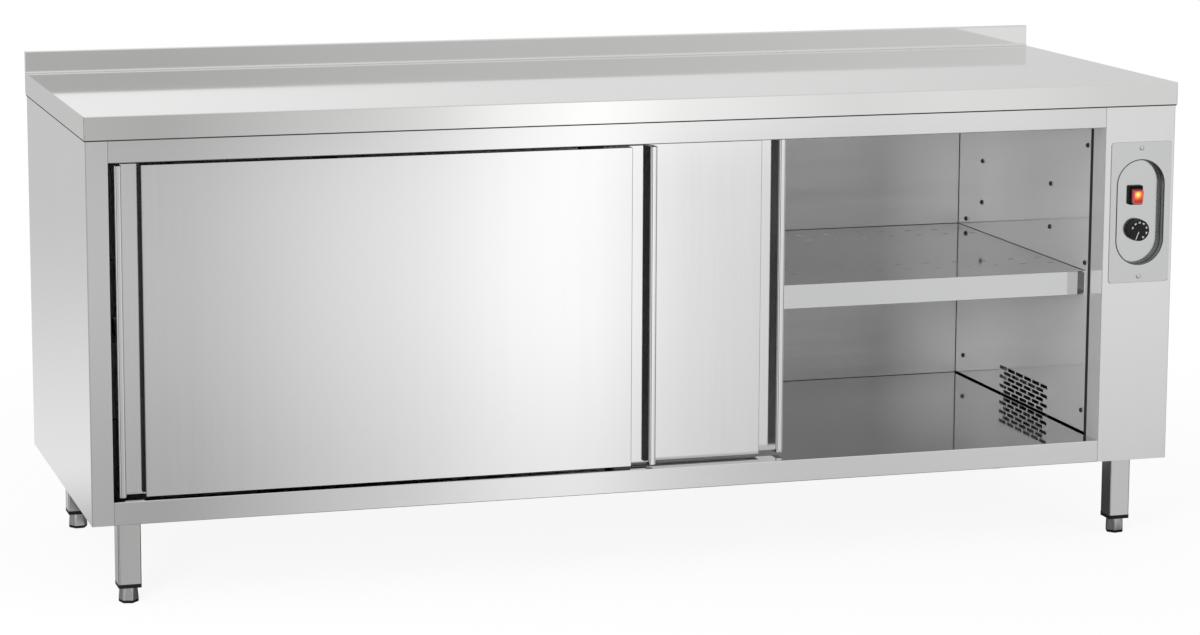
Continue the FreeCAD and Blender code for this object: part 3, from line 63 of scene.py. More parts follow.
class Body(Enum):
    """Moving and fixed bodies of the cabinet."""

    CABINET = "cabinet"
    FRONT_DOOR = "front_door"
    REAR_DOOR = "rear_door"
    FRONT_LEFT_WHEEL = "front_left_wheel"
    FRONT_RIGHT_WHEEL = "front_right_wheel"
    REAR_LEFT_WHEEL = "rear_left_wheel"
    REAR_RIGHT_WHEEL = "rear_right_wheel"
    ROCKER = "power_rocker"
    DIAL = "thermostat_dial"
    ROTOR = "blower_rotor"
    FOOT_FRONT_LEFT = "screw_foot_front_left"
    FOOT_FRONT_RIGHT = "screw_foot_front_right"
    FOOT_REAR_LEFT = "screw_foot_rear_left"
    FOOT_REAR_RIGHT = "screw_foot_rear_right"


class Grain(Enum):
    """How often a brushed pattern repeats per metre along X, Y and Z."""

    ALONG_X = (5.0, 420.0, 420.0)
    ALONG_Y = (420.0, 5.0, 420.0)
    ALONG_Z = (420.0, 420.0, 5.0)
    EVEN = (260.0, 260.0, 260.0)


Colour = tuple[float, float, float]
Point = tuple[float, float, float]
Pairs = Sequence[tuple[float, float]]
Step = tuple[float, float, float, float]
FaceTest = Callable[[bpy.types.MeshPolygon], bool]


# Materials

class Net:
    """A node tree, with short names for the nodes used most."""

    def __init__(self, tree: bpy.types.NodeTree) -> None:
        """Take the tree that the nodes go into."""
        self.tree = tree

    def node(self, kind: str, **settings: object) -> bpy.types.Node:
        """Add a node and set its properties."""
        made = self.tree.nodes.new(kind)
        for key, value in settings.items():
            setattr(made, key, value)
        return made

    def link(self, source: bpy.types.NodeSocket, target: bpy.types.NodeSocket) -> None:
        """Join two sockets."""
        self.tree.links.new(source, target)

    def math(self, operation: str, first: object, second: object = 0.0,
             third: object = 0.0) -> bpy.types.NodeSocket:
        """Combine up to three sockets or numbers."""
        made = self.node("ShaderNodeMath", operation=operation)
        for slot, item in zip(made.inputs, (first, second, third)):
            if isinstance(item, bpy.types.NodeSocket):
                self.link(item, slot)
            else:
                slot.default_value = item
        return made.outputs["Value"]

    def levels(self, source: bpy.types.NodeSocket, low: float, high: float, start: float = 0.3,
               end: float = 0.7, curve: str = "LINEAR") -> bpy.types.NodeSocket:
        """Stretch a socket's range from start..end to low..high."""
        made = self.node("ShaderNodeMapRange", interpolation_type=curve)
        for key, number in (("From Min", start), ("From Max", end), ("To Min", low), ("To Max", high)):
            made.inputs[key].default_value = number
        self.link(source, made.inputs["Value"])
        return made.outputs["Result"]


class Wiring(Net):
    """One material's nodes."""

    def __init__(self, name: str) -> None:
        """Start a material with its principled shader.

        Args:
            name: name of the material.
        """
        self.material = bpy.data.materials.new(name)
        self.material.use_nodes = True
        super().__init__(self.material.node_tree)
        self.shader = self.tree.nodes["Principled BSDF"]
        self.surface = self.tree.nodes["Material Output"].inputs["Surface"]
        self.place = self.node("ShaderNodeTexCoord").outputs["Object"]

    def value(self, socket: str, number: object) -> None:
        """Set one of the shader's own sockets."""
        self.shader.inputs[socket].default_value = number

    def noise(self, repeats: Sequence[float], detail: float = 3.0,
              rough: float = 0.55) -> bpy.types.NodeSocket:
        """Noise that repeats so many times per metre along each axis.

        Args:
            repeats: repeats per metre along X, Y and Z.
            detail: octaves of the noise.
            rough: share that each octave keeps of the one before.

        Returns:
            The socket with the noise, 0 to 1.
        """
        scaled = self.node("ShaderNodeMapping")
        scaled.inputs["Scale"].default_value = repeats
        self.link(self.place, scaled.inputs["Vector"])
        noise = self.node("ShaderNodeTexNoise")
        noise.inputs["Scale"].default_value = 1.0
        noise.inputs["Detail"].default_value = detail
        noise.inputs["Roughness"].default_value = rough
        self.link(scaled.outputs["Vector"], noise.inputs["Vector"])
        return noise.outputs["Fac"]

    def tint(self, factor: bpy.types.NodeSocket, first: Colour, second: Colour) -> bpy.types.NodeSocket:
        """Mix two colours by a factor socket."""
        made = self.node("ShaderNodeMix", data_type="RGBA")
        colours = [socket for socket in made.inputs if socket.type == "RGBA"]
        colours[0].default_value = (*first, 1.0)
        colours[1].default_value = (*second, 1.0)
        self.link(factor, made.inputs["Factor"])
        return [socket for socket in made.outputs if socket.type == "RGBA"][0]

    def bump(self, height: bpy.types.NodeSocket, strength: float, depth: float) -> None:
        """Raise the surface by a height socket.

        Args:
            height: 0 to 1 height.
            strength: share of the effect.
            depth: height of 1 in metres.
        """
        made = self.node("ShaderNodeBump")
        made.inputs["Strength"].default_value = strength
        made.inputs["Distance"].default_value = depth
        self.link(height, made.inputs["Height"])
        self.link(made.outputs["Normal"], self.shader.inputs["Normal"])


@dataclass(frozen=True)
class Finish:
    """What every finish has: a name, a colour and a gloss."""

    name: str
    colour: Colour
    roughness: float

    @property
    def label(self) -> str:
        """Name of the material; the record's slots have names of their own."""
        return self.name + "_finish"

    def material(self) -> bpy.types.Material:
        """Make the material once, and give it back after that."""
        found = bpy.data.materials.get(self.label)
        return found or self.wire().material

    def wire(self) -> Wiring:
        """Wire the nodes; each kind of finish has its own way."""
        raise NotImplementedError

    def shade(self, share: float) -> Colour:
        """The finish's colour times a share."""
        return tuple(min(1.0, part * share) for part in self.colour)


@dataclass(frozen=True)
class BrushedSteel(Finish):
    """Stainless sheet with a directional grain, soft clouds and faint wipe marks."""

    grain: Grain = Grain.ALONG_X
    streak: float = 0.012
    cloud: float = 0.02
    depth: float = 0.000006
    metallic: float = 1.0

    def wire(self) -> Wiring:
        """Grain in colour, gloss and height over wide soft clouds."""
        net = Wiring(self.label)
        fine = net.noise(self.grain.value, detail=4.0, rough=0.7)
        wide = net.noise([repeat / 14.0 for repeat in self.grain.value], detail=2.0)
        soft = net.noise((1.7, 1.7, 1.7), detail=2.0, rough=0.5)
        marks = net.math("ADD", net.math("MULTIPLY", fine, 0.6), net.math("MULTIPLY", wide, 0.4))
        both = net.math("ADD", net.levels(marks, -self.streak, self.streak),
                        net.levels(soft, -self.cloud, self.cloud))
        factor = net.math("ADD", net.math("MULTIPLY", both, 5.0), 0.5)
        net.link(net.tint(factor, self.shade(0.9), self.shade(1.1)), net.shader.inputs["Base Color"])
        gloss = net.math("ADD", net.levels(marks, self.roughness * 0.82, self.roughness * 1.18),
                         net.levels(soft, -0.012, 0.02))
        net.link(gloss, net.shader.inputs["Roughness"])
        net.value("Metallic", self.metallic)
        net.bump(marks, 0.35, self.depth)
        return net


@dataclass(frozen=True)
class Plastic(Finish):
    """Moulded plastic with a fine eroded skin."""

    pebble: float = 900.0
    depth: float = 0.00003
    spread: float = 0.12
    glance: float = 0.5

    def wire(self) -> Wiring:
        """Small pebble in height and gloss, slow change in colour."""
        net = Wiring(self.label)
        skin = net.noise((self.pebble,) * 3, detail=2.0)
        slow = net.noise((22.0, 22.0, 22.0), detail=3.0)
        dark, light = self.shade(1.0 - self.spread), self.shade(1.0 + self.spread)
        net.link(net.tint(net.levels(slow, 0.0, 1.0), dark, light), net.shader.inputs["Base Color"])
        gloss = net.levels(skin, self.roughness * 0.85, self.roughness * 1.15)
        net.link(gloss, net.shader.inputs["Roughness"])
        net.value("Specular IOR Level", self.glance)
        net.bump(skin, 0.4, self.depth)
        return net


@dataclass(frozen=True)
class Glow(Finish):
    """Translucent lens lit by a small lamp behind it."""

    glow: Colour = (1.0, 0.55, 0.12)
    centre: Point = (0.0, 0.0, 0.0)
    reach: float = 0.008
    strength: float = 1.4
    dim: float = 0.22

    def wire(self) -> Wiring:
        """Light that fades from the lamp's place into the lens's own colour."""
        net = Wiring(self.label)
        offset = net.node("ShaderNodeVectorMath", operation="SUBTRACT")
        offset.inputs[1].default_value = self.centre
        net.link(net.place, offset.inputs[0])
        far = net.node("ShaderNodeVectorMath", operation="LENGTH")
        net.link(offset.outputs["Vector"], far.inputs[0])
        near = net.math("POWER", net.levels(far.outputs["Value"], 1.0, 0.0, 0.0, self.reach), 1.8)
        ripple = net.noise((600.0, 600.0, 600.0), detail=2.0)
        net.link(net.tint(net.levels(ripple, 0.0, 1.0), self.shade(0.85), self.shade(1.1)),
                 net.shader.inputs["Base Color"])
        net.link(net.tint(near, self.shade(0.8), self.glow), net.shader.inputs["Emission Color"])
        net.link(net.math("ADD", net.math("MULTIPLY", near, self.strength), self.dim),
                 net.shader.inputs["Emission Strength"])
        net.value("Roughness", self.roughness)
        net.bump(ripple, 0.2, 0.00002)
        return net


@dataclass(frozen=True)
class Wool(Finish):
    """Pressed mineral fibre."""

    def wire(self) -> Wiring:
        """Fibres lying flat in crossing directions."""
        net = Wiring(self.label)
        first = net.noise((900.0, 60.0, 300.0), detail=4.0, rough=0.7)
        second = net.noise((60.0, 900.0, 300.0), detail=4.0, rough=0.7)
        fibre = net.math("MAXIMUM", first, second)
        net.link(net.tint(net.levels(fibre, 0.0, 1.0, 0.4, 0.75), self.shade(0.55), self.shade(1.15)),
                 net.shader.inputs["Base Color"])
        net.value("Roughness", self.roughness)
        net.bump(fibre, 0.8, 0.0012)
        return net


class Shop:
    """The finishes used on the cabinet."""

    WORKTOP = BrushedSteel("worktop_satin", (0.86, 0.86, 0.85), 0.05, Grain.ALONG_X)
    PANEL = BrushedSteel("panel_satin", (0.85, 0.853, 0.85), 0.07, Grain.ALONG_X)
    PANEL_UPRIGHT = BrushedSteel("panel_satin_upright", (0.91, 0.912, 0.91), 0.08, Grain.ALONG_Z)
    LINING = BrushedSteel("lining_satin", (0.93, 0.93, 0.93), 0.42, Grain.ALONG_X, metallic=0.45)
    SIDE_LINING = BrushedSteel("side_lining_satin", (0.9, 0.9, 0.9), 0.045, Grain.ALONG_Y, depth=0.000001,
                               metallic=0.68)
    # Darker copy of the upright panel steel for the column's return beside the doorway: painted shade
    RETURN_PAINTED_SHADE = BrushedSteel("return_painted_shade", (0.72, 0.72, 0.72), 0.06, Grain.ALONG_Z, metallic=0.6)
    # Darker copy of the panel steel for the top of the cabin's floor pan: painted shade
    FLOOR_PAINTED_SHADE = BrushedSteel("floor_painted_shade", (0.66, 0.665, 0.665), 0.035, Grain.ALONG_X, depth=0.000001)
    SHELF = BrushedSteel("shelf_satin", (0.77, 0.775, 0.775), 0.06, Grain.ALONG_X, depth=0.000002)
    # Darker copy of the shelf steel for the shelf's top: painted shade
    SHELF_TOP_PAINTED_SHADE = BrushedSteel("shelf_top_painted_shade", (0.63, 0.635, 0.635), 0.07, Grain.ALONG_X, depth=0.000002)
    DOOR = BrushedSteel("door_satin", (0.89, 0.892, 0.892), 0.09, Grain.ALONG_Z)
    FOLDED = BrushedSteel("plain_sheet", (0.62, 0.62, 0.61), 0.3, Grain.ALONG_X, streak=0.05, cloud=0.06)
    BEZEL = BrushedSteel("bezel_satin", (0.76, 0.767, 0.767), 0.15, Grain.ALONG_Z)
    # Dark copy of the bezel steel for the recess walls and the lip round its mouth: painted shade
    RECESS_PAINTED_SHADE = BrushedSteel("recess_painted_shade", (0.24, 0.243, 0.243), 0.26, Grain.EVEN, streak=0.002, cloud=0.004,
                         depth=0.0)
    RIM = BrushedSteel("rim_satin", (0.74, 0.745, 0.745), 0.5, Grain.EVEN, streak=0.004, depth=0.000001)
    LEG = BrushedSteel("tube_satin", (0.76, 0.76, 0.755), 0.2, Grain.ALONG_Z)
    FOOT = BrushedSteel("foot_satin", (0.8, 0.8, 0.79), 0.4, Grain.ALONG_Z, streak=0.03)
    CASE = BrushedSteel("case_sheet", (0.66, 0.66, 0.64), 0.32, Grain.EVEN, streak=0.05, cloud=0.06)
    GROUND = BrushedSteel("ground_shaft", (0.72, 0.72, 0.72), 0.18, Grain.ALONG_Y)
    HEATER = BrushedSteel("heater_tube", (0.2, 0.19, 0.18), 0.42, Grain.ALONG_Y, streak=0.08)
    BLACKENED = BrushedSteel("blackened_sheet", (0.045, 0.045, 0.048), 0.4, Grain.ALONG_X, streak=0.05,
                             cloud=0.06)
    ALUMINIUM = BrushedSteel("plain_aluminium", (0.78, 0.79, 0.8), 0.34, Grain.ALONG_Y)
    SCREW = BrushedSteel("bright_screw", (0.85, 0.85, 0.84), 0.12, Grain.EVEN)
    DARK_SCREW = BrushedSteel("dark_screw", (0.1, 0.1, 0.1), 0.14, Grain.EVEN)
    MOTOR = Plastic("motor_paint", (0.07, 0.075, 0.085), 0.42)
    SLIDE = Plastic("slide_plastic", (0.03, 0.03, 0.031), 0.42)
    ROLLER = Plastic("roller_plastic", (0.84, 0.84, 0.8), 0.35)
    # Dark rubber of the door stops, also used for the strip under the hem (painted shadow) and the lining's
    # sealant beads, dark as painted shade
    RUBBER_AND_PAINTED_SHADE = Plastic("stop_rubber", (0.02, 0.02, 0.02), 0.75, pebble=500.0, depth=0.00008)
    SWITCH = Plastic("switch_plastic", (0.003, 0.003, 0.003), 0.34, glance=0.12)
    KNOB = Plastic("knob_plastic", (0.011, 0.011, 0.0115), 0.44, pebble=1400.0, glance=0.14)
    MARK = Plastic("dial_white", (0.66, 0.66, 0.65), 0.4)
    TERMINAL = Plastic("terminal_plastic", (0.8, 0.79, 0.74), 0.5)
    GLAND = Plastic("gland_plastic", (0.05, 0.05, 0.052), 0.45)
    CAP = Plastic("cap_plastic", (0.007, 0.007, 0.007), 0.42, glance=0.2)
    PAD = Plastic("pad_plastic", (0.005, 0.005, 0.005), 0.5, glance=0.2)
    ROCKER_RIM = Glow("rocker_rim", (0.42, 0.07, 0.07), 0.34, glow=(0.9, 0.1, 0.05),
                      centre=(0.927, -0.3476, 0.6456), reach=0.015, strength=0.25, dim=0.01)
    ROCKER = Glow("lit_rocker", (0.3, 0.01, 0.006), 0.24, glow=(1.0, 0.5, 0.09),
                  centre=(0.9272, -0.3472, 0.6454), reach=0.0162, strength=2.9, dim=0.1)
    WOOL = Wool("mineral_wool", (0.62, 0.52, 0.24), 0.95)


SLOT_FINISH = {
    "worktop_steel": Shop.WORKTOP, "panel_steel": Shop.PANEL, "lining_steel": Shop.LINING,
    "shelf_steel": Shop.SHELF, "door_steel": Shop.DOOR, "folded_steel": Shop.FOLDED,
    "bezel_steel": Shop.BEZEL, "leg_steel": Shop.LEG, "foot_steel": Shop.FOOT,
    "thermostat_steel": Shop.CASE, "shaft_steel": Shop.GROUND, "heater_steel": Shop.HEATER,
    "impeller_metal": Shop.ALUMINIUM, "motor_metal": Shop.MOTOR, "bright_screw": Shop.SCREW,
    "mineral_wool": Shop.WOOL, "slide_plastic": Shop.SLIDE, "roller_plastic": Shop.ROLLER,
    "stop_rubber": Shop.RUBBER_AND_PAINTED_SHADE, "switch_plastic": Shop.SWITCH, "lit_rocker": Shop.ROCKER,
    "knob_plastic": Shop.KNOB, "terminal_plastic": Shop.TERMINAL, "gland_plastic": Shop.GLAND,
    "cap_plastic": Shop.CAP, "pad_plastic": Shop.PAD,
}
NODE_SLOT = {part["node"]: part["material_slot"] for part in frame["record"]["subparts"]}
NODE_FINISH = {"inner_right_wall": Shop.SIDE_LINING, "inner_left_wall": Shop.SIDE_LINING}


def node_finish(node: str) -> Finish:
    """Finish of a CAD node: its own, or else its slot's."""
    return NODE_FINISH.get(node, SLOT_FINISH[NODE_SLOT[node]])


# Meshes

@dataclass(frozen=True)
class Fold:
    """A straight bend: the edges that hold two coordinates, and its outer radius."""

    radius: float
    x: Optional[float] = None
    y: Optional[float] = None
    z: Optional[float] = None
    steps: int = 3

    def holds(self, point: Vector) -> bool:
        """Whether a point lies on the bend's line."""
        wanted = (self.x, self.y, self.z)
        return all(want is None or abs(have - want) < 0.00015 for have, want in zip(point, wanted))

    def edges(self, bm: bmesh.types.BMesh) -> list[bmesh.types.BMEdge]:
        """The mesh's edges along this bend."""
        return [edge for edge in bm.edges if all(self.holds(vert.co) for vert in edge.verts)]


def merged_copy(node: str) -> bmesh.types.BMesh:
    """Copy of a CAD node's mesh, with its triangles joined into flat faces.

    Args:
        node: name of the CAD node.

    Returns:
        A closed mesh in the shared frame.
    """
    bm = bmesh.new()
    bm.from_mesh(frame["nodes"][node].data)
    bmesh.ops.remove_doubles(bm, verts=bm.verts, dist=0.000005)
    bmesh.ops.dissolve_limit(bm, angle_limit=math.radians(0.5), verts=bm.verts, edges=bm.edges)
    return bm


def round_edges(bm: bmesh.types.BMesh, edges: Iterable[bmesh.types.BMEdge], radius: float,
                steps: int = 2) -> None:
    """Round some edges of a mesh.

    Args:
        bm: mesh to change.
        edges: edges to round.
        radius: width taken off each side.
        steps: segments of the rounding.
    """
    chosen = list(edges)
    if chosen:
        bmesh.ops.bevel(bm, geom=chosen, offset=radius, offset_type="OFFSET", segments=steps, profile=0.5,
                        affect="EDGES", material=-1, clamp_overlap=True)


def sharp_edges(bm: bmesh.types.BMesh, degrees: float = 30.0) -> list[bmesh.types.BMEdge]:
    """Edges whose two faces meet at more than an angle."""
    limit = math.radians(degrees)
    return [edge for edge in bm.edges if len(edge.link_faces) == 2 and edge.calc_face_angle(0.0) > limit]


def edges_along(bm: bmesh.types.BMesh, axis: int, least: float) -> list[bmesh.types.BMEdge]:
    """Edges that run further than a length along an axis, given by its number."""
    return [edge for edge in bm.edges if abs(edge.verts[0].co[axis] - edge.verts[1].co[axis]) > least]


def placed(name: str, bm: bmesh.types.BMesh) -> bpy.types.Object:
    """Put a mesh into the scene as an object; the bmesh is freed."""
    mesh = bpy.data.meshes.new(name)
    bm.to_mesh(mesh)
    bm.free()
    thing = bpy.data.objects.new(name, mesh)
    bpy.context.scene.collection.objects.link(thing)
    return thing


def refinish(piece: bpy.types.Object, finish: Finish, chosen: FaceTest) -> None:
    """Give some of a piece's faces another finish.

    Args:
        piece: the piece.
        finish: the other finish.
        chosen: says of a face whether it gets it.
    """
    piece.data.materials.append(finish.material())
    for polygon in piece.data.polygons:
        if chosen(polygon):
            polygon.material_index = len(piece.data.materials) - 1


def looks_up_at(level: float) -> FaceTest:
    """Test for the faces that look up and lie at a height."""
    return lambda polygon: polygon.normal.z > 0.98 and abs(polygon.center.z - level) < NEAR


def as_piece(name: str, bm: bmesh.types.BMesh, finish: Finish, body: Body,
             replaces: Sequence[str] = (), facet: float = 32.0) -> bpy.types.Object:
    """Turn a mesh into a finished piece that rides on a body.

    Args:
        name: the piece's name.
        bm: its mesh in the shared frame; it is freed.
        finish: its finish.
        body: the body it rides on.
        replaces: CAD nodes that it stands for.
        facet: angle in degrees past which an edge stays sharp.

    Returns:
        The new object.
    """
    bm.normal_update()
    for face in bm.faces:
        face.smooth = True
    limit = math.radians(facet)
    for edge in bm.edges:
        edge.smooth = len(edge.link_faces) == 2 and edge.calc_face_angle(0.0) < limit
    piece = placed(name, bm)
    piece.data.materials.append(finish.material())
    even = piece.modifiers.new("flat_faces", "WEIGHTED_NORMAL")
    even.mode, even.weight, even.keep_sharp = "FACE_AREA", 100, True
    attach(piece, body.value)
    if replaces:
        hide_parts(*replaces)
    LOG.info("%s: %d faces", name, len(piece.data.polygons))
    return piece


@dataclass
class FoldedSheet:
    """A sheet part shown with the bend radii and broken edges of real folded work."""

    node: str
    folds: tuple[Fold, ...] = ()
    finish: Optional[Finish] = None
    body: Body = Body.CABINET
    broken: float = 0.0003
    shaped: Optional[Callable[[bmesh.types.BMesh], None]] = None

    def make(self) -> bpy.types.Object:
        """Round the named bends, break the other edges, and stand for the node."""
        bm = merged_copy(self.node)
        if self.shaped:
            self.shaped(bm)
        for fold in self.folds:
            round_edges(bm, fold.edges(bm), fold.radius, fold.steps)
        if self.broken:
            round_edges(bm, sharp_edges(bm, 50.0), self.broken, 1)
        finish = self.finish or node_finish(self.node)
        return as_piece(self.node + "_sheet", bm, finish, self.body, (self.node,))


@dataclass(frozen=True)
class Solid:
    """One separate lump of a node: its lowest and highest corner."""

    low: Vector
    high: Vector

    @property
    def centre(self) -> Vector:
        """Middle of the lump's box."""
        return (self.low + self.high) / 2


def solids_of(node: str) -> list[Solid]:
    """The separate lumps of a CAD node.

    Args:
        node: name of the CAD node.

    Returns:
        The boxes of its solids.
    """
    bm = merged_copy(node)
    bm.verts.ensure_lookup_table()
    left, found = set(bm.verts), []
    while left:
        group, queue = [], [left.pop()]
        while queue:
            vert = queue.pop()
            group.append(vert.co.copy())
            near = {edge.other_vert(vert) for edge in vert.link_edges} & left
            left -= near
            queue.extend(near)
        found.append(Solid(Vector(min(co[i] for co in group) for i in range(3)),
                           Vector(max(co[i] for co in group) for i in range(3))))
    bm.free()
    return found


def sink(bm: bmesh.types.BMesh, face: bmesh.types.BMFace, margin: float, depth: float,
         slope: float = 0.0003) -> None:
    """Press the middle of a flat face in.

    Args:
        bm: mesh to change.
        face: the face, which ends as the pocket's floor.
        margin: width of the rim that stays.
        depth: how far the middle goes in.
        slope: width of the pocket's wall.
    """
    bm.normal_update()
    inward = -face.normal.copy()
    bmesh.ops.inset_region(bm, faces=[face], thickness=margin, depth=0.0)
    bmesh.ops.inset_region(bm, faces=[face], thickness=slope, depth=0.0)
    bmesh.ops.translate(bm, vec=inward * depth, verts=face.verts)


def toward(axis: Sequence[float], spot: Sequence[float], turn: float = 0.0) -> Matrix:
    """Placement that takes local Z to an axis at a spot.

    Args:
        axis: direction that local Z goes to.
        spot: where the local origin goes.
        turn: turn about local Z in degrees, before that.

    Returns:
        The placement.
    """
    way = Vector(axis).to_track_quat("Z", "Y").to_matrix().to_4x4()
    return Matrix.Translation(spot) @ way @ Matrix.Rotation(math.radians(turn), 4, "Z")


def tidy(bm: bmesh.types.BMesh) -> bmesh.types.BMesh:
    """Merge doubles and point every face outwards."""
    bmesh.ops.remove_doubles(bm, verts=bm.verts, dist=0.000002)
    bmesh.ops.recalc_face_normals(bm, faces=bm.faces)
    return bm


def spun(profile: Pairs, placement: Matrix, steps: int = 48) -> bmesh.types.BMesh:
    """Turned shape.

    Args:
        profile: radius and height pairs, in metres.
        placement: where local Z and the origin go.
        steps: segments of the turn.

    Returns:
        The closed mesh.
    """
    bm = bmesh.new()
    verts = [bm.verts.new((radius, 0.0, height)) for radius, height in profile]
    edges = [bm.edges.new(pair) for pair in zip(verts, verts[1:])]
    bmesh.ops.spin(bm, geom=verts + edges, cent=(0, 0, 0), axis=(0, 0, 1), angle=2 * math.pi, steps=steps,
                   use_merge=True, use_duplicate=False)
    bmesh.ops.transform(bm, matrix=placement, verts=bm.verts)
    return tidy(bm)


def block(low: Sequence[float], high: Sequence[float], radius: float = 0.0,
          steps: int = 2) -> bmesh.types.BMesh:
    """Box between two corners with all its edges rounded."""
    bm = bmesh.new()
    bmesh.ops.create_cube(bm, size=1.0)
    size = Vector(high) - Vector(low)
    bmesh.ops.scale(bm, vec=size, verts=bm.verts)
    bmesh.ops.translate(bm, vec=(Vector(low) + Vector(high)) / 2, verts=bm.verts)
    if radius:
        round_edges(bm, list(bm.edges), radius, steps)
    return bm


def prism(points: Pairs, height: float) -> bmesh.types.BMesh:
    """Straight bar with a drawn outline, from local Z 0 up to a height."""
    bm = bmesh.new()
    face = bm.faces.new([bm.verts.new((x, y, 0.0)) for x, y in points])
    grown = bmesh.ops.extrude_face_region(bm, geom=[face])
    bmesh.ops.translate(bm, vec=(0, 0, height),
                        verts=[item for item in grown["geom"] if isinstance(item, bmesh.types.BMVert)])
    bmesh.ops.recalc_face_normals(bm, faces=bm.faces)
    return bm


def circle(radius: float, count: int, turn: float = 0.0) -> list[tuple[float, float]]:
    """Points round a circle, starting at an angle in degrees."""
    return [(radius * math.cos(math.radians(turn) + 2 * math.pi * step / count),
             radius * math.sin(math.radians(turn) + 2 * math.pi * step / count)) for step in range(count)]


def joined(parts: Iterable[bmesh.types.BMesh], placement: Optional[Matrix] = None) -> bmesh.types.BMesh:
    """Several meshes as one, placed together; the parts are freed."""
    whole = bmesh.new()
    for part in parts:
        mesh = bpy.data.meshes.new("part")
        part.to_mesh(mesh)
        part.free()
        whole.from_mesh(mesh)
        bpy.data.meshes.remove(mesh)
    if placement is not None:
        bmesh.ops.transform(whole, matrix=placement, verts=whole.verts)
    return whole


def cross_head(radius: float, height: float, placement: Matrix, rounds: int = 24) -> bmesh.types.BMesh:
    """Domed screw head with a cross recess.

    Args:
        radius: of the head.
        height: of the crown over the sheet.
        placement: where the head's seat and its outward axis go.
        rounds: segments round the head.

    Returns:
        The closed mesh.
    """
    arm, slot, crown = radius * 0.5, radius * 0.13, radius * 0.62
    plus = [(arm, -slot), (arm, slot), (slot, slot), (slot, arm), (-slot, arm), (-slot, slot), (-arm, slot),
            (-arm, -slot), (-slot, -slot), (-slot, -arm), (slot, -arm), (slot, -slot)]
    bm = bmesh.new()
    rings = [[bm.verts.new((x * 0.7, y * 0.7, height * 0.45)) for x, y in plus],
             [bm.verts.new((x, y, height * 0.96)) for x, y in plus]]
    dome = ((crown, 1.0), (radius * 0.8, 0.84), (radius * 0.93, 0.52), (radius, 0.06), (radius, 0.0))
    for reach, level in dome:
        rings.append([bm.verts.new((x, y, height * level)) for x, y in circle(reach, rounds)])
    for ring in rings:
        for first, second in zip(ring, ring[1:] + ring[:1]):
            bm.edges.new((first, second))
    bm.faces.new(rings[0])
    bm.faces.new(rings[-1])
    for inner, outer in zip(rings, rings[1:]):
        loops = [edge for edge in bm.edges if all(vert in set(inner) for vert in edge.verts)
                 or all(vert in set(outer) for vert in edge.verts)]
        bmesh.ops.bridge_loops(bm, edges=loops)
    bmesh.ops.transform(bm, matrix=placement, verts=bm.verts)
    return tidy(bm)


@dataclass(frozen=True)
class PanScrew:
    """A pan-head screw: the radius and crown of its head, and its shank with a short tip."""

    head: float
    crown: float
    length: float
    tip: float
    tip_radius: float
    shank: float = 0.0018

    def parts(self, axis: Point, spot: Point, turn: float) -> list[bmesh.types.BMesh]:
        """Head and shank of one screw.

        Args:
            axis: direction that the head looks in.
            spot: middle of the head's seat.
            turn: turn of the cross recess in degrees.

        Returns:
            The two meshes.
        """
        profile = ((0.0, 0.0), (self.shank, 0.0), (self.shank, self.tip - self.length),
                   (self.tip_radius, -self.length), (0.0, -self.length))
        head = cross_head(self.head, self.crown, toward(axis, spot, turn))
        return [head, spun(profile, toward(axis, spot), 12)]


def ring_tube(path: Sequence[Point], radius: float, sides: int = 8) -> bmesh.types.BMesh:
    """Closed tube round a path that lies in a plane square to Y.

    Args:
        path: the path's points in order.
        radius: the tube's radius.
        sides: facets round the tube.

    Returns:
        The tube's mesh.
    """
    bm = bmesh.new()
    rings, count = [], len(path)
    for number, spot in enumerate(path):
        along = Vector(path[(number + 1) % count]) - Vector(path[number - 1])
        out = Vector((along.z, 0.0, -along.x)).normalized()
        ring = []
        for side in range(sides):
            turn = 2 * math.pi * side / sides
            offset = math.cos(turn) * out + Vector((0.0, math.sin(turn), 0.0))
            ring.append(bm.verts.new(Vector(spot) + radius * offset))
        rings.append(ring)
    for near, far in zip(rings, rings[1:] + rings[:1]):
        for side in range(sides):
            following = (side + 1) % sides
            bm.faces.new((near[side], near[following], far[following], far[side]))
    bmesh.ops.recalc_face_normals(bm, faces=bm.faces)
    return bm


# Assemblies

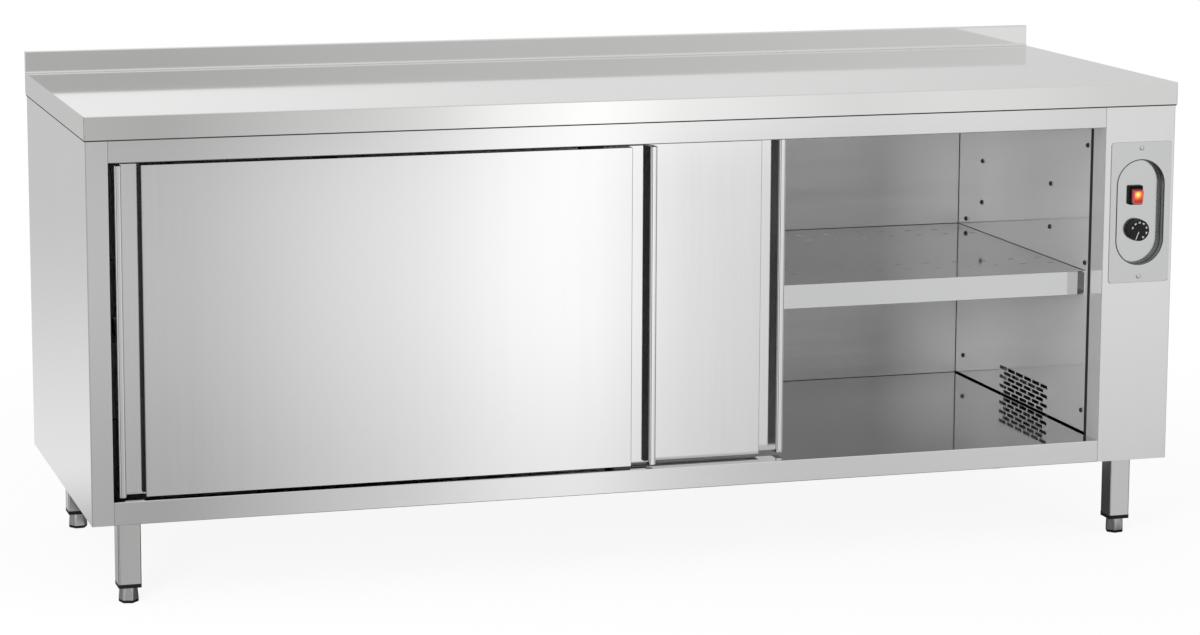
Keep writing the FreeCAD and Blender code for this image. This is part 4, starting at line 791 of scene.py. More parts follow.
@dataclass
class Casework:
    """Worktop, outer panels, rail, sill and back."""

    bend: float = 0.0018
    tight_bend: float = 0.0009
    back_edge: float = 0.0002
    worktop_level: float = 0.85
    upstand_front: float = 0.335
    side_face: float = 0.998
    # Size of the dark strip that paints the shadow under the worktop's hem
    shadow_strip: float = 0.0014
    shadow_strip_drop: float = 0.0026
    shadow_strip_tuck: float = 0.0003
    shadow_strip_end: float = 0.344

    def make(self) -> None:
        """Fold every outer sheet."""
        bend = self.bend
        self.worktop()
        self.side_panels()
        self.fascia()
        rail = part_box("top_rail")[0]
        FoldedSheet("top_rail", (Fold(bend, y=rail.y, z=rail.z),), Shop.PANEL).make()
        low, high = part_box("floor_panel")
        pan = FoldedSheet("floor_panel", (Fold(bend, y=low.y, z=high.z), Fold(bend, y=low.y, z=low.z)),
                          Shop.PANEL).make()
        # The pan's top takes a darker copy of its steel: painted shade
        refinish(pan, Shop.FLOOR_PAINTED_SHADE, looks_up_at(high.z))
        FoldedSheet("back_panel", finish=Shop.PANEL, broken=self.back_edge).make()
        self.hem_shadow_strip()

    def worktop(self) -> None:
        """Worktop with its nose, side edges, hem and rear upstand."""
        bend, tight, level = self.bend, self.tight_bend, self.worktop_level
        low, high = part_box("worktop")
        FoldedSheet("worktop", (
            Fold(bend, y=low.y, z=level), Fold(tight, x=low.x, z=level), Fold(tight, x=high.x, z=level),
            Fold(tight, x=low.x, y=low.y), Fold(tight, x=high.x, y=low.y),
            Fold(bend, y=low.y, z=low.z), Fold(bend, x=low.x, z=low.z), Fold(bend, x=high.x, z=low.z),
            Fold(bend, y=self.upstand_front, z=high.z), Fold(bend, y=high.y, z=high.z),
            Fold(tight, x=low.x, z=high.z), Fold(tight, x=high.x, z=high.z),
        ), Shop.WORKTOP).make()

    def side_panels(self) -> None:
        """The two side sheets, each folded into a post at its front."""
        for node, edge in (("left_side_panel", -self.side_face), ("right_side_panel", self.side_face)):
            low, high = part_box(node)
            FoldedSheet(node, (
                Fold(self.bend, x=edge, y=low.y), Fold(self.tight_bend, x=edge, z=low.z),
                Fold(self.tight_bend, x=edge, y=high.y),
                Fold(self.bend, x=high.x if edge < 0 else low.x, y=low.y)), Shop.PANEL_UPRIGHT).make()

    def fascia(self) -> None:
        """Front of the service column, whose return beside the doorway takes a darker copy of its steel as
        painted shade.
        """
        low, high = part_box("control_fascia")
        sheet = FoldedSheet("control_fascia", (
            Fold(self.bend, x=low.x, y=low.y), Fold(self.bend, x=high.x, y=low.y),
            Fold(self.tight_bend, y=low.y, z=low.z)), Shop.PANEL_UPRIGHT).make()
        # The return's faces take the darker copy of the steel: painted shade
        refinish(sheet, Shop.RETURN_PAINTED_SHADE,
                 lambda polygon: polygon.normal.x < -0.9 and abs(polygon.center.x - low.x) < NEAR)

    def hem_shadow_strip(self) -> None:
        """Thin dark strip under the worktop's hem, round the front and both sides: painted shadow of the gap
        between the hem and the body.
        """
        level, front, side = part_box("worktop")[0].z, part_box("top_rail")[0].y, self.side_face
        foot, tuck = level - self.shadow_strip_drop, self.shadow_strip_tuck
        strips = [block((-side - self.shadow_strip, front - self.shadow_strip, foot), (side + self.shadow_strip, front + tuck, level),
                        0.0002, 1)]
        for sign in (-1.0, 1.0):
            near, far = sorted((sign * (side + self.shadow_strip), sign * (side - tuck)))
            strips.append(block((near, front + tuck, foot), (far, self.shadow_strip_end, level), 0.0002, 1))
        as_piece("hem_shadow_strip", joined(strips), Shop.RUBBER_AND_PAINTED_SHADE, Body.CABINET)


@dataclass
class Cabin:
    """Lining, shelf and what is screwed to it."""

    screw: PanScrew = PanScrew(0.0046, 0.0036, 0.0069, 0.0003, 0.0008)
    screw_seat: float = 0.0022
    screw_turn: float = 37.0
    shelf_bend: float = 0.0008
    shelf_reach: float = 0.0345
    shelf_lip: float = 0.046
    front_gap: float = 0.007
    slot_top: float = 0.246
    slot_pitch: float = 0.0092
    slot_height: float = 0.005
    slot_growth: float = 0.0009
    outlet_bottom: float = 0.16
    outlet_half: float = 0.14
    seam: float = 0.0011

    def make(self) -> None:
        """Dress the lining and the shelf, then set the screws."""
        low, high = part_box("shelf")
        folds = (Fold(self.shelf_bend, y=low.y, z=high.z), Fold(self.shelf_bend, y=low.y, z=low.z))
        tray = FoldedSheet("shelf", folds, Shop.SHELF, broken=0.0, shaped=self.reach_back).make()
        # The shelf's top takes a darker copy of its steel: painted shade
        refinish(tray, Shop.SHELF_TOP_PAINTED_SHADE, looks_up_at(high.z))
        FoldedSheet("inner_left_wall", broken=0.0).make()
        FoldedSheet("inner_right_wall", broken=0.0, shaped=self.open_outlet).make()
        for node in ("inner_back_wall", "inner_ceiling", "shelf_supports"):
            FoldedSheet(node).make()
        self.seams_and_painted_shade(high.z)
        heads = []
        for number, screw in enumerate(solids_of("wall_screws")):
            inward = -1.0 if screw.centre.x > 0 else 1.0
            seat = (screw.low.x if inward < 0 else screw.high.x) - inward * self.screw_seat
            spot = (seat, screw.centre.y, screw.centre.z)
            heads += self.screw.parts((inward, 0.0, 0.0), spot, self.screw_turn * number)
        as_piece("wall_screw_heads", joined(heads), Shop.DARK_SCREW, Body.CABINET,
                 ("wall_screws",))

    def reach_back(self, bm: bmesh.types.BMesh) -> None:
        """Draw the shelf's rear edge back to the lining."""
        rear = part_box("shelf")[1].y
        for vert in bm.verts:
            if vert.co.y > rear - 0.003:
                vert.co.y += self.shelf_reach

    def open_outlet(self, bm: bmesh.types.BMesh) -> None:
        """Open the outlet's slots by a hair and draw the wall's front edge back from the column."""
        front = min(vert.co.y for vert in bm.verts)
        for vert in bm.verts:
            if vert.co.y < front + 0.002:
                vert.co.y += self.front_gap
            step = (self.slot_top - vert.co.z) % self.slot_pitch
            if abs(vert.co.y) < self.outlet_half and self.outlet_bottom < vert.co.z < self.slot_top + 0.0005:
                if min(step, self.slot_pitch - step) < HAIR:
                    vert.co.z += self.slot_growth
                elif abs(step - self.slot_height) < HAIR:
                    vert.co.z -= self.slot_growth

    def seams_and_painted_shade(self, level: float) -> None:
        """Fine dark beads of sealant in the lining's corners, on the shelf and beside the column; their dark
        colour is also painted shade in these corners and gaps.

        Args:
            level: height of the shelf's top.
        """
        left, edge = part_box("inner_left_wall")[1].x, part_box("inner_right_wall")[0]
        right, back, column = edge.x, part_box("inner_back_wall")[0].y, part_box("control_fascia")[1].y
        floor, ceiling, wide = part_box("floor_panel")[1].z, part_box("inner_ceiling")[0].z, self.seam
        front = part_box("shelf")[0].y + 0.002
        beads = []
        for x, side in ((left, 1.0), (right, -1.0)):
            near, far = sorted((x, x + side * wide))
            for low, high in ((floor, level - self.shelf_lip), (level, ceiling)):
                beads.append(block((near, back - wide, low), (far, back, high), wide * 0.3, 1))
            beads.append(block((near, front, level), (far, back - wide, level + wide * 0.6), wide * 0.15, 1))
        for low in (floor, level):
            beads.append(block((left + wide, back - wide, low), (right - wide, back, low + wide * 0.7),
                               wide * 0.2, 1))
        beads.append(block((right + 0.0004, column - 0.0002, floor + 0.0005),
                           (right + 0.0016, edge.y + self.front_gap + 0.0004, ceiling), wide * 0.2, 1))
        as_piece("lining_seams_and_painted_shade", joined(beads), Shop.RUBBER_AND_PAINTED_SHADE, Body.CABINET)


@dataclass
class ControlPlate:
    """Pressed plate with its recess, its screws, and the switch and knob in it."""

    centre: tuple[float, float] = (0.932, 0.613)
    recess: tuple[float, float] = (0.0525, 0.1025)
    mouth: tuple[float, float] = (0.055, 0.108)
    switch_level: float = 0.643
    switch_room: tuple[float, float] = (0.02, 0.03)
    shaft_level: float = 0.579
    shaft_room: float = 0.012
    cad_floor: float = -0.328
    floor: float = -0.333
    front: float = -0.3476
    rim: float = 0.0022
    rim_growth: float = 0.0009
    lip: float = 0.0011
    mouth_bend: float = 0.0034
    floor_bend: float = 0.0024
    screw: PanScrew = PanScrew(0.0046, 0.0023, 0.0066, 0.0004, 0.0009)

    def make(self) -> None:
        """Build the plate and everything on it."""
        bm = merged_copy("control_bezel")
        self.press(bm)
        self.roll_lip(bm)
        round_edges(bm, self.stadium(bm, self.floor), self.floor_bend, 3)
        round_edges(bm, self.stadium(bm, self.front), self.mouth_bend, 5)
        plate = as_piece("control_bezel_plate", bm, Shop.BEZEL, Body.CABINET,
                         ("control_bezel",), 40.0)
        # Recess walls take a dark copy of the plate's steel: painted shade
        refinish(plate, Shop.RECESS_PAINTED_SHADE, lambda polygon: self.slopes(polygon) and self.in_recess(polygon))
        refinish(plate, Shop.RIM, lambda polygon: self.slopes(polygon) and not self.in_recess(polygon))
        heads = []
        for number, screw in enumerate(solids_of("bezel_screws")):
            spot = (screw.centre.x, self.front, screw.centre.z)
            heads += self.screw.parts((0.0, -1.0, 0.0), spot, 20.0 + 50.0 * number)
        as_piece("bezel_screw_heads", joined(heads), Shop.SCREW, Body.CABINET,
                 ("bezel_screws",))
        Switch(self.floor).make()
        Knob((self.centre[0], self.shaft_level)).make()

    def press(self, bm: bmesh.types.BMesh) -> None:
        """Deepen the recess, set the plate's face and widen its rim."""
        low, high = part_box("control_bezel")
        for vert in bm.verts:
            if vert.co.y > self.cad_floor - 0.0005:
                vert.co.y += self.floor - self.cad_floor
            elif low.y + HAIR < vert.co.y < low.y + 0.002:
                vert.co.y += (self.front - low.y) / 2
            elif vert.co.y < low.y + HAIR:
                vert.co.y = self.front
                for axis in (0, 2):
                    if abs(vert.co[axis] - low[axis]) < self.rim:
                        vert.co[axis] -= self.rim_growth
                    elif abs(vert.co[axis] - high[axis]) < self.rim:
                        vert.co[axis] += self.rim_growth

    def roll_lip(self, bm: bmesh.types.BMesh) -> None:
        """Add the rolled lip round the recess's mouth, dark as painted shade along the mouth's edge."""
        x, z = self.centre
        mouth = {vert for edge in self.stadium(bm, self.front) for vert in edge.verts}
        outline = sorted((math.atan2(vert.co.z - z, vert.co.x - x), vert.co.x, vert.co.z) for vert in mouth)
        path = [(across, self.front, up) for _, across, up in outline]
        as_piece("recess_lip", ring_tube(path, self.lip), Shop.RECESS_PAINTED_SHADE, Body.CABINET)

    @staticmethod
    def slopes(polygon: bpy.types.MeshPolygon) -> bool:
        """Whether a face looks away from the plate's front."""
        return abs(polygon.normal.y) < 0.985

    def in_recess(self, polygon: bpy.types.MeshPolygon) -> bool:
        """Whether a face belongs to the recess."""
        return (abs(polygon.center.x - self.centre[0]) < self.recess[0]
                and abs(polygon.center.z - self.centre[1]) < self.recess[1])

    def stadium(self, bm: bmesh.types.BMesh, depth: float) -> list[bmesh.types.BMEdge]:
        """Edges of the recess's round-ended outline at a depth along Y."""
        found = []
        for edge in bm.edges:
            middle = (edge.verts[0].co + edge.verts[1].co) / 2
            across = abs(middle.x - self.centre[0])
            at_depth = all(abs(vert.co.y - depth) < 0.00004 for vert in edge.verts)
            outside = across > self.mouth[0] or abs(middle.z - self.centre[1]) > self.mouth[1]
            below, above = self.switch_room
            by_switch = across < below and -below < middle.z - self.switch_level < above
            by_shaft = across < self.shaft_room and abs(middle.z - self.shaft_level) < self.shaft_room
            bent = len(edge.link_faces) == 2 and edge.calc_face_angle(0.0) > 0.5
            if at_depth and bent and not (outside or by_switch or by_shaft):
                found.append(edge)
        return found


@dataclass
class Switch:
    """Black frame with rounded corners, and the lit rocker in it."""

    floor: float
    centre: tuple[float, float] = (0.927, 0.6435)
    half: tuple[float, float] = (0.0137, 0.0177)
    front: float = -0.3397
    corner: float = 0.0028
    edge: float = 0.0009
    rocker_spot: Point = (0.9286, -0.3286, 0.643)
    rocker_tilt: float = 8.0
    rocker_half: tuple[float, float] = (0.0089, 0.0124)
    crown: float = 0.0142
    rocker_front: float = 0.0183

    def make(self) -> None:
        """Build the frame, the rocker's shell and its lens."""
        self.frame()
        self.rocker()

    def frame(self) -> None:
        """Frame with its well, and the case behind the plate."""
        low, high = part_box("switch_housing")
        (x, z), (wide, tall) = self.centre, self.half
        collar = block((x - wide, self.front, z - tall), (x + wide, self.floor, z + tall))
        round_edges(collar, edges_along(collar, 1, 0.003), self.corner, 5)
        round_edges(collar, [edge for edge in sharp_edges(collar, 60.0)
                             if all(vert.co.y < self.front + HAIR for vert in edge.verts)], self.edge, 3)
        sink(collar, min(collar.faces, key=lambda item: item.calc_center_median().y), 0.0026, 0.0056)
        case = block((low.x, self.floor, low.z + 0.0015), (high.x - 0.003, high.y, high.z - 0.0015), 0.0008)
        as_piece("switch_housing_frame", joined((collar, case)), Shop.SWITCH, Body.CABINET,
                 ("switch_housing",))

    def rocker(self) -> None:
        """Rocker with a shallow dish, and the lit lens in the dish."""
        lean = math.radians(90.0 + self.rocker_tilt)
        tilt = Matrix.Translation(self.rocker_spot) @ Matrix.Rotation(lean, 4, "X")
        (wide, tall), crown, front = self.rocker_half, self.crown, self.rocker_front
        stem = block((-wide, -tall, -0.004), (wide, tall, crown + 0.0005))
        cover = block((-wide - 0.0009, -tall - 0.0003, crown), (wide + 0.0009, tall + 0.0003, front))
        round_edges(cover, edges_along(cover, 2, 0.003), 0.0024, 5)
        round_edges(cover, sharp_edges(cover, 60.0), 0.0006, 3)
        sink(cover, max(cover.faces, key=lambda face: face.calc_center_median().z), 0.0016, 0.0008, 0.0004)
        as_piece("rocker_shell", joined((stem, cover), tilt), Shop.ROCKER_RIM, Body.ROCKER,
                 ("switch_rocker",), 40.0)
        across, up = wide - 0.0014, tall - 0.0018
        lens = block((-across, -up, front - 0.0014), (across, up, front - 0.0003))
        round_edges(lens, edges_along(lens, 2, 0.0008), 0.0012, 4)
        round_edges(lens, sharp_edges(lens, 60.0), 0.0003, 2)
        bmesh.ops.transform(lens, matrix=tilt, verts=lens.verts)
        as_piece("rocker_lens", lens, Shop.ROCKER, Body.ROCKER)


@dataclass
class Knob:
    """Round black knob with a fine rim, a scale of degrees and a pointer line, on its shaft."""

    axis: tuple[float, float]
    radius: float = 0.0205
    front: float = -0.3482
    back: float = -0.3336
    dish: float = 0.0006
    mark_radius: float = 0.0145
    mark_height: float = 0.0042
    mark_angles: tuple[float, ...] = (160.0, 124.0, 90.0, 57.0, 20.0, -19.0, -58.0)
    pointer_angle: float = 247.0
    shaft_back: float = -0.3083

    def make(self) -> None:
        """Build the knob, its scale and the shaft."""
        x, z = self.axis
        reach, depth = self.radius, self.back - self.front
        profile = (
            (0.0, depth - 0.003), (0.0031, depth - 0.003), (0.0031, 0.0), (reach - 0.0006, 0.0),
            (reach, 0.0006), (reach, 0.0012), (reach - 0.0005, 0.0016), (reach - 0.0009, depth - 0.0012),
            (reach - 0.0012, depth - 0.0004), (reach - 0.0018, depth - 0.0001),
            (reach - 0.0024, depth - 0.0001), (reach - 0.0028, depth - self.dish), (0.0, depth - self.dish))
        knob = spun(profile, toward((0, -1, 0), (x, self.back, z)), 72)
        as_piece("thermostat_dial_knob", knob, Shop.KNOB, Body.DIAL,
                 ("thermostat_knob",), 40.0)
        self.scale(self.front + self.dish)
        end = ((0, 0), (0.0028, 0), (0.003, 0.0002), (0.003, 0.0338), (0.0026, 0.034), (0, 0.034))
        shaft = spun(end, toward((0, -1, 0), (x, self.shaft_back, z)), 32)
        as_piece("dial_shaft", shaft, Shop.GROUND, Body.DIAL, ("thermostat_shaft",))

    def scale(self, face: float) -> None:
        """Plain numbers and the pointer line on the knob's face."""
        x, z = self.axis
        marks = []
        for number, angle in enumerate(self.mark_angles):
            turn = math.radians(angle)
            spot = (x + self.mark_radius * math.cos(turn), face, z + self.mark_radius * math.sin(turn))
            marks.append(self.numeral(str(30 + 10 * number), self.mark_height, spot, angle - 90.0))
        line = block((0.0028, -0.00045, -0.0001), (0.0176, 0.00045, 0.00012), 0.00005, 1)
        bmesh.ops.transform(line, matrix=self.on_face((x, face, z), self.pointer_angle), verts=line.verts)
        as_piece("dial_scale", joined(marks + [line]), Shop.MARK, Body.DIAL)

    @staticmethod
    def on_face(spot: Point, turn: float) -> Matrix:
        """Placement that stands a flat shape up to face the front, turned in degrees."""
        return (Matrix.Translation(spot) @ Matrix.Rotation(math.radians(90.0), 4, "X")
                @ Matrix.Rotation(math.radians(turn), 4, "Z"))

    @classmethod
    def numeral(cls, word: str, size: float, spot: Point, turn: float) -> bmesh.types.BMesh:
        """Raised number on the dial's face.

        Args:
            word: the number.
            size: height of the type.
            spot: centre of the number, on the face.
            turn: turn in degrees as seen from the front.

        Returns:
            The number as a mesh.
        """
        curve = bpy.data.curves.new("numeral", "FONT")
        curve.body, curve.size, curve.extrude = word, size, 0.00005
        curve.align_x, curve.align_y, curve.resolution_u, curve.offset = "CENTER", "CENTER", 2, 0.00006
        holder = bpy.data.objects.new("numeral", curve)
        bpy.context.scene.collection.objects.link(holder)
        bpy.context.view_layer.update()
        mesh = bpy.data.meshes.new_from_object(holder.evaluated_get(bpy.context.evaluated_depsgraph_get()))
        bm = bmesh.new()
        bm.from_mesh(mesh)
        bpy.data.objects.remove(holder)
        bpy.data.curves.remove(curve)
        bpy.data.meshes.remove(mesh)
        bmesh.ops.transform(bm, matrix=cls.on_face(spot, turn), verts=bm.verts)
        return tidy(bm)


@dataclass
class Leg:
    """One square leg with its screw foot and pad."""

    corner: str
    body: Body
    turn: float
    bend: float = 0.0014
    foot_radius: float = 0.0174
    foot_top: float = 0.0153
    flat: float = 0.0151
    cap_low: float = 0.028
    pad_height: float = 0.0055

    def make(self) -> None:
        """Build the leg from the top down."""
        low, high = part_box("leg_" + self.corner)
        folds = tuple(Fold(self.bend, x=x, y=y) for x in (low.x, high.x) for y in (low.y, high.y))
        FoldedSheet("leg_" + self.corner, folds, Shop.LEG).make()
        spot = Matrix.Translation(((low.x + high.x) / 2, (low.y + high.y) / 2, 0.0))
        turned = spot @ Matrix.Rotation(math.radians(self.turn), 4, "Z")
        sleeve = self.faceted(turned)
        spindle = spun(((0, 0.027), (0.005, 0.027), (0.005, 0.0988), (0.0038, 0.1), (0, 0.1)), spot, 24)
        as_piece("foot_sleeve_" + self.corner, joined((sleeve, spindle)), Shop.FOOT, self.body,
                 ("foot_" + self.corner,), 24.0)
        pad = prism(circle(self.foot_radius, 6), self.pad_height)
        tread = [edge for edge in pad.edges if all(vert.co.z < HAIR for vert in edge.verts)]
        round_edges(pad, tread, 0.0022, 2)
        round_edges(pad, sharp_edges(pad, 40.0), 0.0004, 1)
        bmesh.ops.transform(pad, matrix=turned, verts=pad.verts)
        as_piece("foot_pad_hex_" + self.corner, pad, Shop.PAD, self.body,
                 ("foot_pad_" + self.corner,))

    def faceted(self, placement: Matrix) -> bmesh.types.BMesh:
        """Turned sleeve with six flats that run out towards the top.

        Args:
            placement: where it goes.

        Returns:
            The closed mesh.
        """
        low, high, flat = self.pad_height, self.cap_low, self.flat
        bm = spun(((0, low), (self.foot_radius, low), (self.foot_top, high), (0, high)), Matrix.Identity(4), 72)
        for step in range(6):
            angle = math.radians(30.0 + 60.0 * step)
            way = Vector((math.cos(angle), math.sin(angle), 0.0))
            cut = bmesh.ops.bisect_plane(bm, geom=bm.verts[:] + bm.edges[:] + bm.faces[:], dist=0.000001,
                                         plane_co=way * flat, plane_no=way, clear_outer=True)
            rim = [item for item in cut["geom_cut"] if isinstance(item, bmesh.types.BMEdge)]
            bmesh.ops.edgeloop_fill(bm, edges=rim)
        bmesh.ops.transform(bm, matrix=placement, verts=bm.verts)
        return tidy(bm)


@dataclass
class Legs:
    """The four legs, their caps and mounting plates."""

    turns: dict[str, float] = field(default_factory=lambda: {
        "front_left": -14.0, "front_right": 11.0, "rear_left": 5.0, "rear_right": -8.0})
    cap_step: float = 0.0036
    cap_seat: float = 0.007
    groove: float = 0.0003
    groove_depth: float = 0.0009
    plug: float = 0.0182

    def make(self) -> None:
        """Build every leg, then the caps as one piece."""
        for corner, turn in self.turns.items():
            Leg(corner, Body["FOOT_" + corner.upper()], turn).make()
        caps = [self.cap(cap) for cap in solids_of("leg_caps")]
        as_piece("leg_end_caps", joined(caps), Shop.CAP, Body.CABINET, ("leg_caps",))
        FoldedSheet("leg_plates", finish=Shop.FOLDED, broken=0.0005).make()

    def cap(self, solid: Solid) -> bmesh.types.BMesh:
        """Square end cap in two steps with a fine groove between them, and its plug."""
        low, high, middle = solid.low, solid.high, solid.centre
        seam, seat, shrink = low.z + self.cap_step, low.z + self.cap_seat, self.groove_depth
        lower = block((low.x, low.y, low.z), (high.x, high.y, seam - self.groove), 0.0011, 3)
        neck = block((low.x + shrink, low.y + shrink, low.z + 0.001),
                     (high.x - shrink, high.y - shrink, seat), 0.0004, 1)
        upper = block((low.x, low.y, seam + self.groove), (high.x, high.y, seat - 0.00005), 0.0008, 2)
        plug = block((middle.x - self.plug, middle.y - self.plug, seat - 0.001),
                     (middle.x + self.plug, middle.y + self.plug, high.z), 0.0012, 2)
        return joined((lower, neck, upper, plug))


@dataclass
class Door:
    """One sliding door with its liner, hangers and wheels."""

    lane: str
    body: Body
    wheels: dict[str, Body]

    def make(self) -> None:
        """Build the door."""
        FoldedSheet(self.lane + "_door_skin", (), Shop.DOOR, self.body, 0.0).make()
        FoldedSheet(self.lane + "_door_liner", (), Shop.DOOR, self.body).make()
        FoldedSheet(self.lane + "_door_hangers", (), Shop.BLACKENED, self.body, 0.0004).make()
        for side, wheel in self.wheels.items():
            node = "%s_roller_%s" % (self.lane, side)
            low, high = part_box(node)
            centre = (low + high) / 2
            width, reach = high.y - low.y, high.x - centre.x
            face = ((0.00255, 0.0), (0.0052, 0.0), (0.0056, 0.0006), (0.0082, 0.0006), (0.0086, 0.0),
                    (reach, 0.0), (reach, 0.0006), (reach - 0.0012, width * 0.32))
            profile = face + tuple((radius, width - along) for radius, along in face[::-1]) + face[:1]
            roller = spun(profile, toward((0, 1, 0), (centre.x, low.y, centre.z)), 48)
            as_piece(node + "_wheel", roller, Shop.ROLLER, wheel, (node,), 40.0)


@dataclass
class ServiceSpace:
    """Blower, heater, terminals and gland in the column beside the cabin."""

    blades: int = 20
    laminations: int = 12
    fins: int = 40
    poles: int = 6
    nut_radius: float = 0.01298
    nut_height: float = 0.006

    def make(self) -> None:
        """Build every fitting."""
        self.impeller()
        self.motor()
        self.heater()
        self.terminals()
        self.gland()
        self.thermostat()
        FoldedSheet("blower_housing", finish=Shop.CASE, broken=0.0002).make()

    def impeller(self) -> None:
        """Cross-flow cage: curved blades between rimmed discs, a hub and the through shaft."""
        low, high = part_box("blower_impeller")
        x, z, reach = (low.x + high.x) / 2, (low.z + high.z) / 2, (high.x - low.x) / 2
        start, end = -0.105, 0.105
        parts = []
        for number in range(self.blades):
            outer, inner = [], []
            for step in range(5):
                share = step / 4.0
                radius = reach - 0.0086 + 0.0082 * share
                angle = 2 * math.pi * number / self.blades + 0.16 * (1.0 - share) ** 1.6
                for side, line in ((0.5, outer), (-0.5, inner)):
                    lean = angle + side * 0.0009 / radius
                    line.append((radius * math.cos(lean), radius * math.sin(lean)))
            parts.append(prism(outer + inner[::-1], end - start - 0.002))
        facing = toward((0, 1, 0), (x, start + 0.001, z))
        cage = joined(parts, facing)
        rim = ((0.0032, 0.0), (reach - 0.0004, 0.0), (reach, 0.0004), (reach, 0.0019),
               (reach - 0.001, 0.0023), (reach - 0.0102, 0.0023), (reach - 0.011, 0.0013), (0.0105, 0.0013),
               (0.009, 0.0024), (0.0032, 0.0024), (0.0032, 0.0))
        discs = [spun(rim, toward((0, way, 0), (x, level, z)), 60) for way, level in ((1, start), (-1, end))]
        collar = ((0.0031, 0.0), (0.0086, 0.0), (0.009, 0.0004), (0.009, 0.0086), (0.0086, 0.009),
                  (0.0031, 0.009), (0.0031, 0.0))
        hub = spun(collar, toward((0, 1, 0), (x, start, z)), 36)
        clamp = cross_head(0.0016, 0.0008, toward((0, 0, 1), (x, start + 0.0046, z + 0.0088)), 12)
        rod = ((0, 0), (0.0026, 0), (0.003, 0.0004), (0.003, 0.2486), (0.0026, 0.249), (0, 0.249))
        shaft = spun(rod, toward((0, 1, 0), (x, low.y, z)), 32)
        as_piece("impeller_cage", joined([cage, hub, clamp] + discs), Shop.ALUMINIUM, Body.ROTOR,
                 ("blower_impeller",), 30.0)
        as_piece("impeller_shaft", shaft, Shop.GROUND, Body.ROTOR)

    def motor(self) -> None:
        """Shaded-pole motor: laminated core between two painted bells, held by four bolts."""
        low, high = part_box("blower_motor")
        x, z, half = (low.x + high.x) / 2, (low.z + high.z) / 2, (high.x - low.x) / 2
        sheets = []
        for number in range(self.laminations):
            near = low.y + 0.008 + 0.0012 * number
            sheets.append(block((low.x, near, low.z), (high.x, near + 0.00105, high.z), 0.0004, 1))
        bell = ((0.0036, 0.0), (0.0075, 0.0), (0.008, 0.0005), (0.009, 0.0026), (half - 0.005, 0.0034),
                (half - 0.0036, 0.0048), (half - 0.0034, 0.0084), (0.0036, 0.0084), (0.0036, 0.0))
        bells = [spun(bell, toward((0, way, 0), (x, level, z)), 48)
                 for level, way in ((low.y, 1.0), (high.y, -1.0))]
        bolt = ((0, 0), (0.0028, 0), (0.0032, 0.0006), (0.0032, 0.0296), (0.0026, 0.03), (0, 0.03))
        corner = half - 0.0046
        feet = [spun(bolt, toward((0, 1, 0), (x + across * corner, low.y, z + up * corner)), 16)
                for across in (-1.0, 1.0) for up in (-1.0, 1.0)]
        as_piece("motor_core", joined(sheets), Shop.GROUND, Body.CABINET, ("blower_motor",))
        as_piece("motor_bells", joined(bells), Shop.MOTOR, Body.CABINET, (), 30.0)
        as_piece("motor_bolts", joined(feet), Shop.SCREW, Body.CABINET)

    def heater(self) -> None:
        """Three finned heater tubes with ceramic ends, in two brackets."""
        low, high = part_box("heating_element")
        x, span = (low.x + high.x) / 2, high.y - low.y
        tube = ((0, 0.004), (0.0033, 0.004), (0.0033, span - 0.004), (0, span - 0.004))
        fin = ((0.0031, 0.0), (0.0054, 0.0), (0.0054, 0.0005), (0.0031, 0.0005), (0.0031, 0.0))
        ceramic = ((0, 0.0), (0.0034, 0.0), (0.004, 0.0006), (0.004, 0.0046), (0.0035, 0.0052), (0, 0.0052))
        tubes, ends = [], []
        for number in range(3):
            z = low.z + 0.006 + 0.016 * number
            facing = toward((0, 1, 0), (x, low.y, z))
            tubes.append(spun(tube, facing, 24))
            for step in range(self.fins):
                along = 0.014 + (span - 0.028) * step / (self.fins - 1)
                tubes.append(spun([(radius, along + height) for radius, height in fin], facing, 16))
            for base, way in ((low.y, 1.0), (high.y, -1.0)):
                ends.append(spun(ceramic, toward((0, way, 0), (x, base, z)), 24))
        plates = []
        for base in (low.y, high.y - 0.002):
            plate = block((low.x, base, low.z), (high.x, base + 0.002, high.z))
            round_edges(plate, edges_along(plate, 1, 0.001), 0.0018, 3)
            plates.append(plate)
        as_piece("heater_tubes", joined(tubes), Shop.HEATER, Body.CABINET,
                 ("heating_element",), 30.0)
        as_piece("heater_ends", joined(ends + plates), Shop.CASE, Body.CABINET, (), 30.0)

    def terminals(self) -> None:
        """Strip of six screw terminals with a clamp in each bay."""
        low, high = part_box("terminal_block")
        middle, count, base = (low.x + high.x) / 2, self.poles, low.z
        pitch = (high.y - low.y - 0.002) / count
        body = [block(low, (high.x, high.y, base + 0.0078), 0.0006, 2)]
        metal = []
        for number in range(count + 1):
            near = low.y + pitch * number
            body.append(block((low.x + 0.0004, near, base + 0.001), (high.x - 0.0004, near + 0.002, high.z),
                              0.0005, 2))
            if number < count:
                centre = near + 0.001 + pitch / 2
                body.append(block((middle - 0.0022, near + 0.0022, base + 0.007),
                                  (middle + 0.0022, near + pitch - 0.0002, base + 0.0122), 0.0004, 1))
                for side in (-1.0, 1.0):
                    spot = (middle + side * 0.0064, centre, base + 0.0088)
                    metal.append(block((spot[0] - 0.0034, centre - 0.0034, base + 0.0074),
                                       (spot[0] + 0.0034, centre + 0.0034, base + 0.009), 0.0003, 1))
                    metal.append(cross_head(0.0027, 0.0022, toward((0, 0, 1), spot, 35.0 * number), 20))
        as_piece("terminal_strip", joined(body), Shop.TERMINAL, Body.CABINET,
                 ("terminal_block",))
        as_piece("terminal_clamps", joined(metal), Shop.SCREW, Body.CABINET)

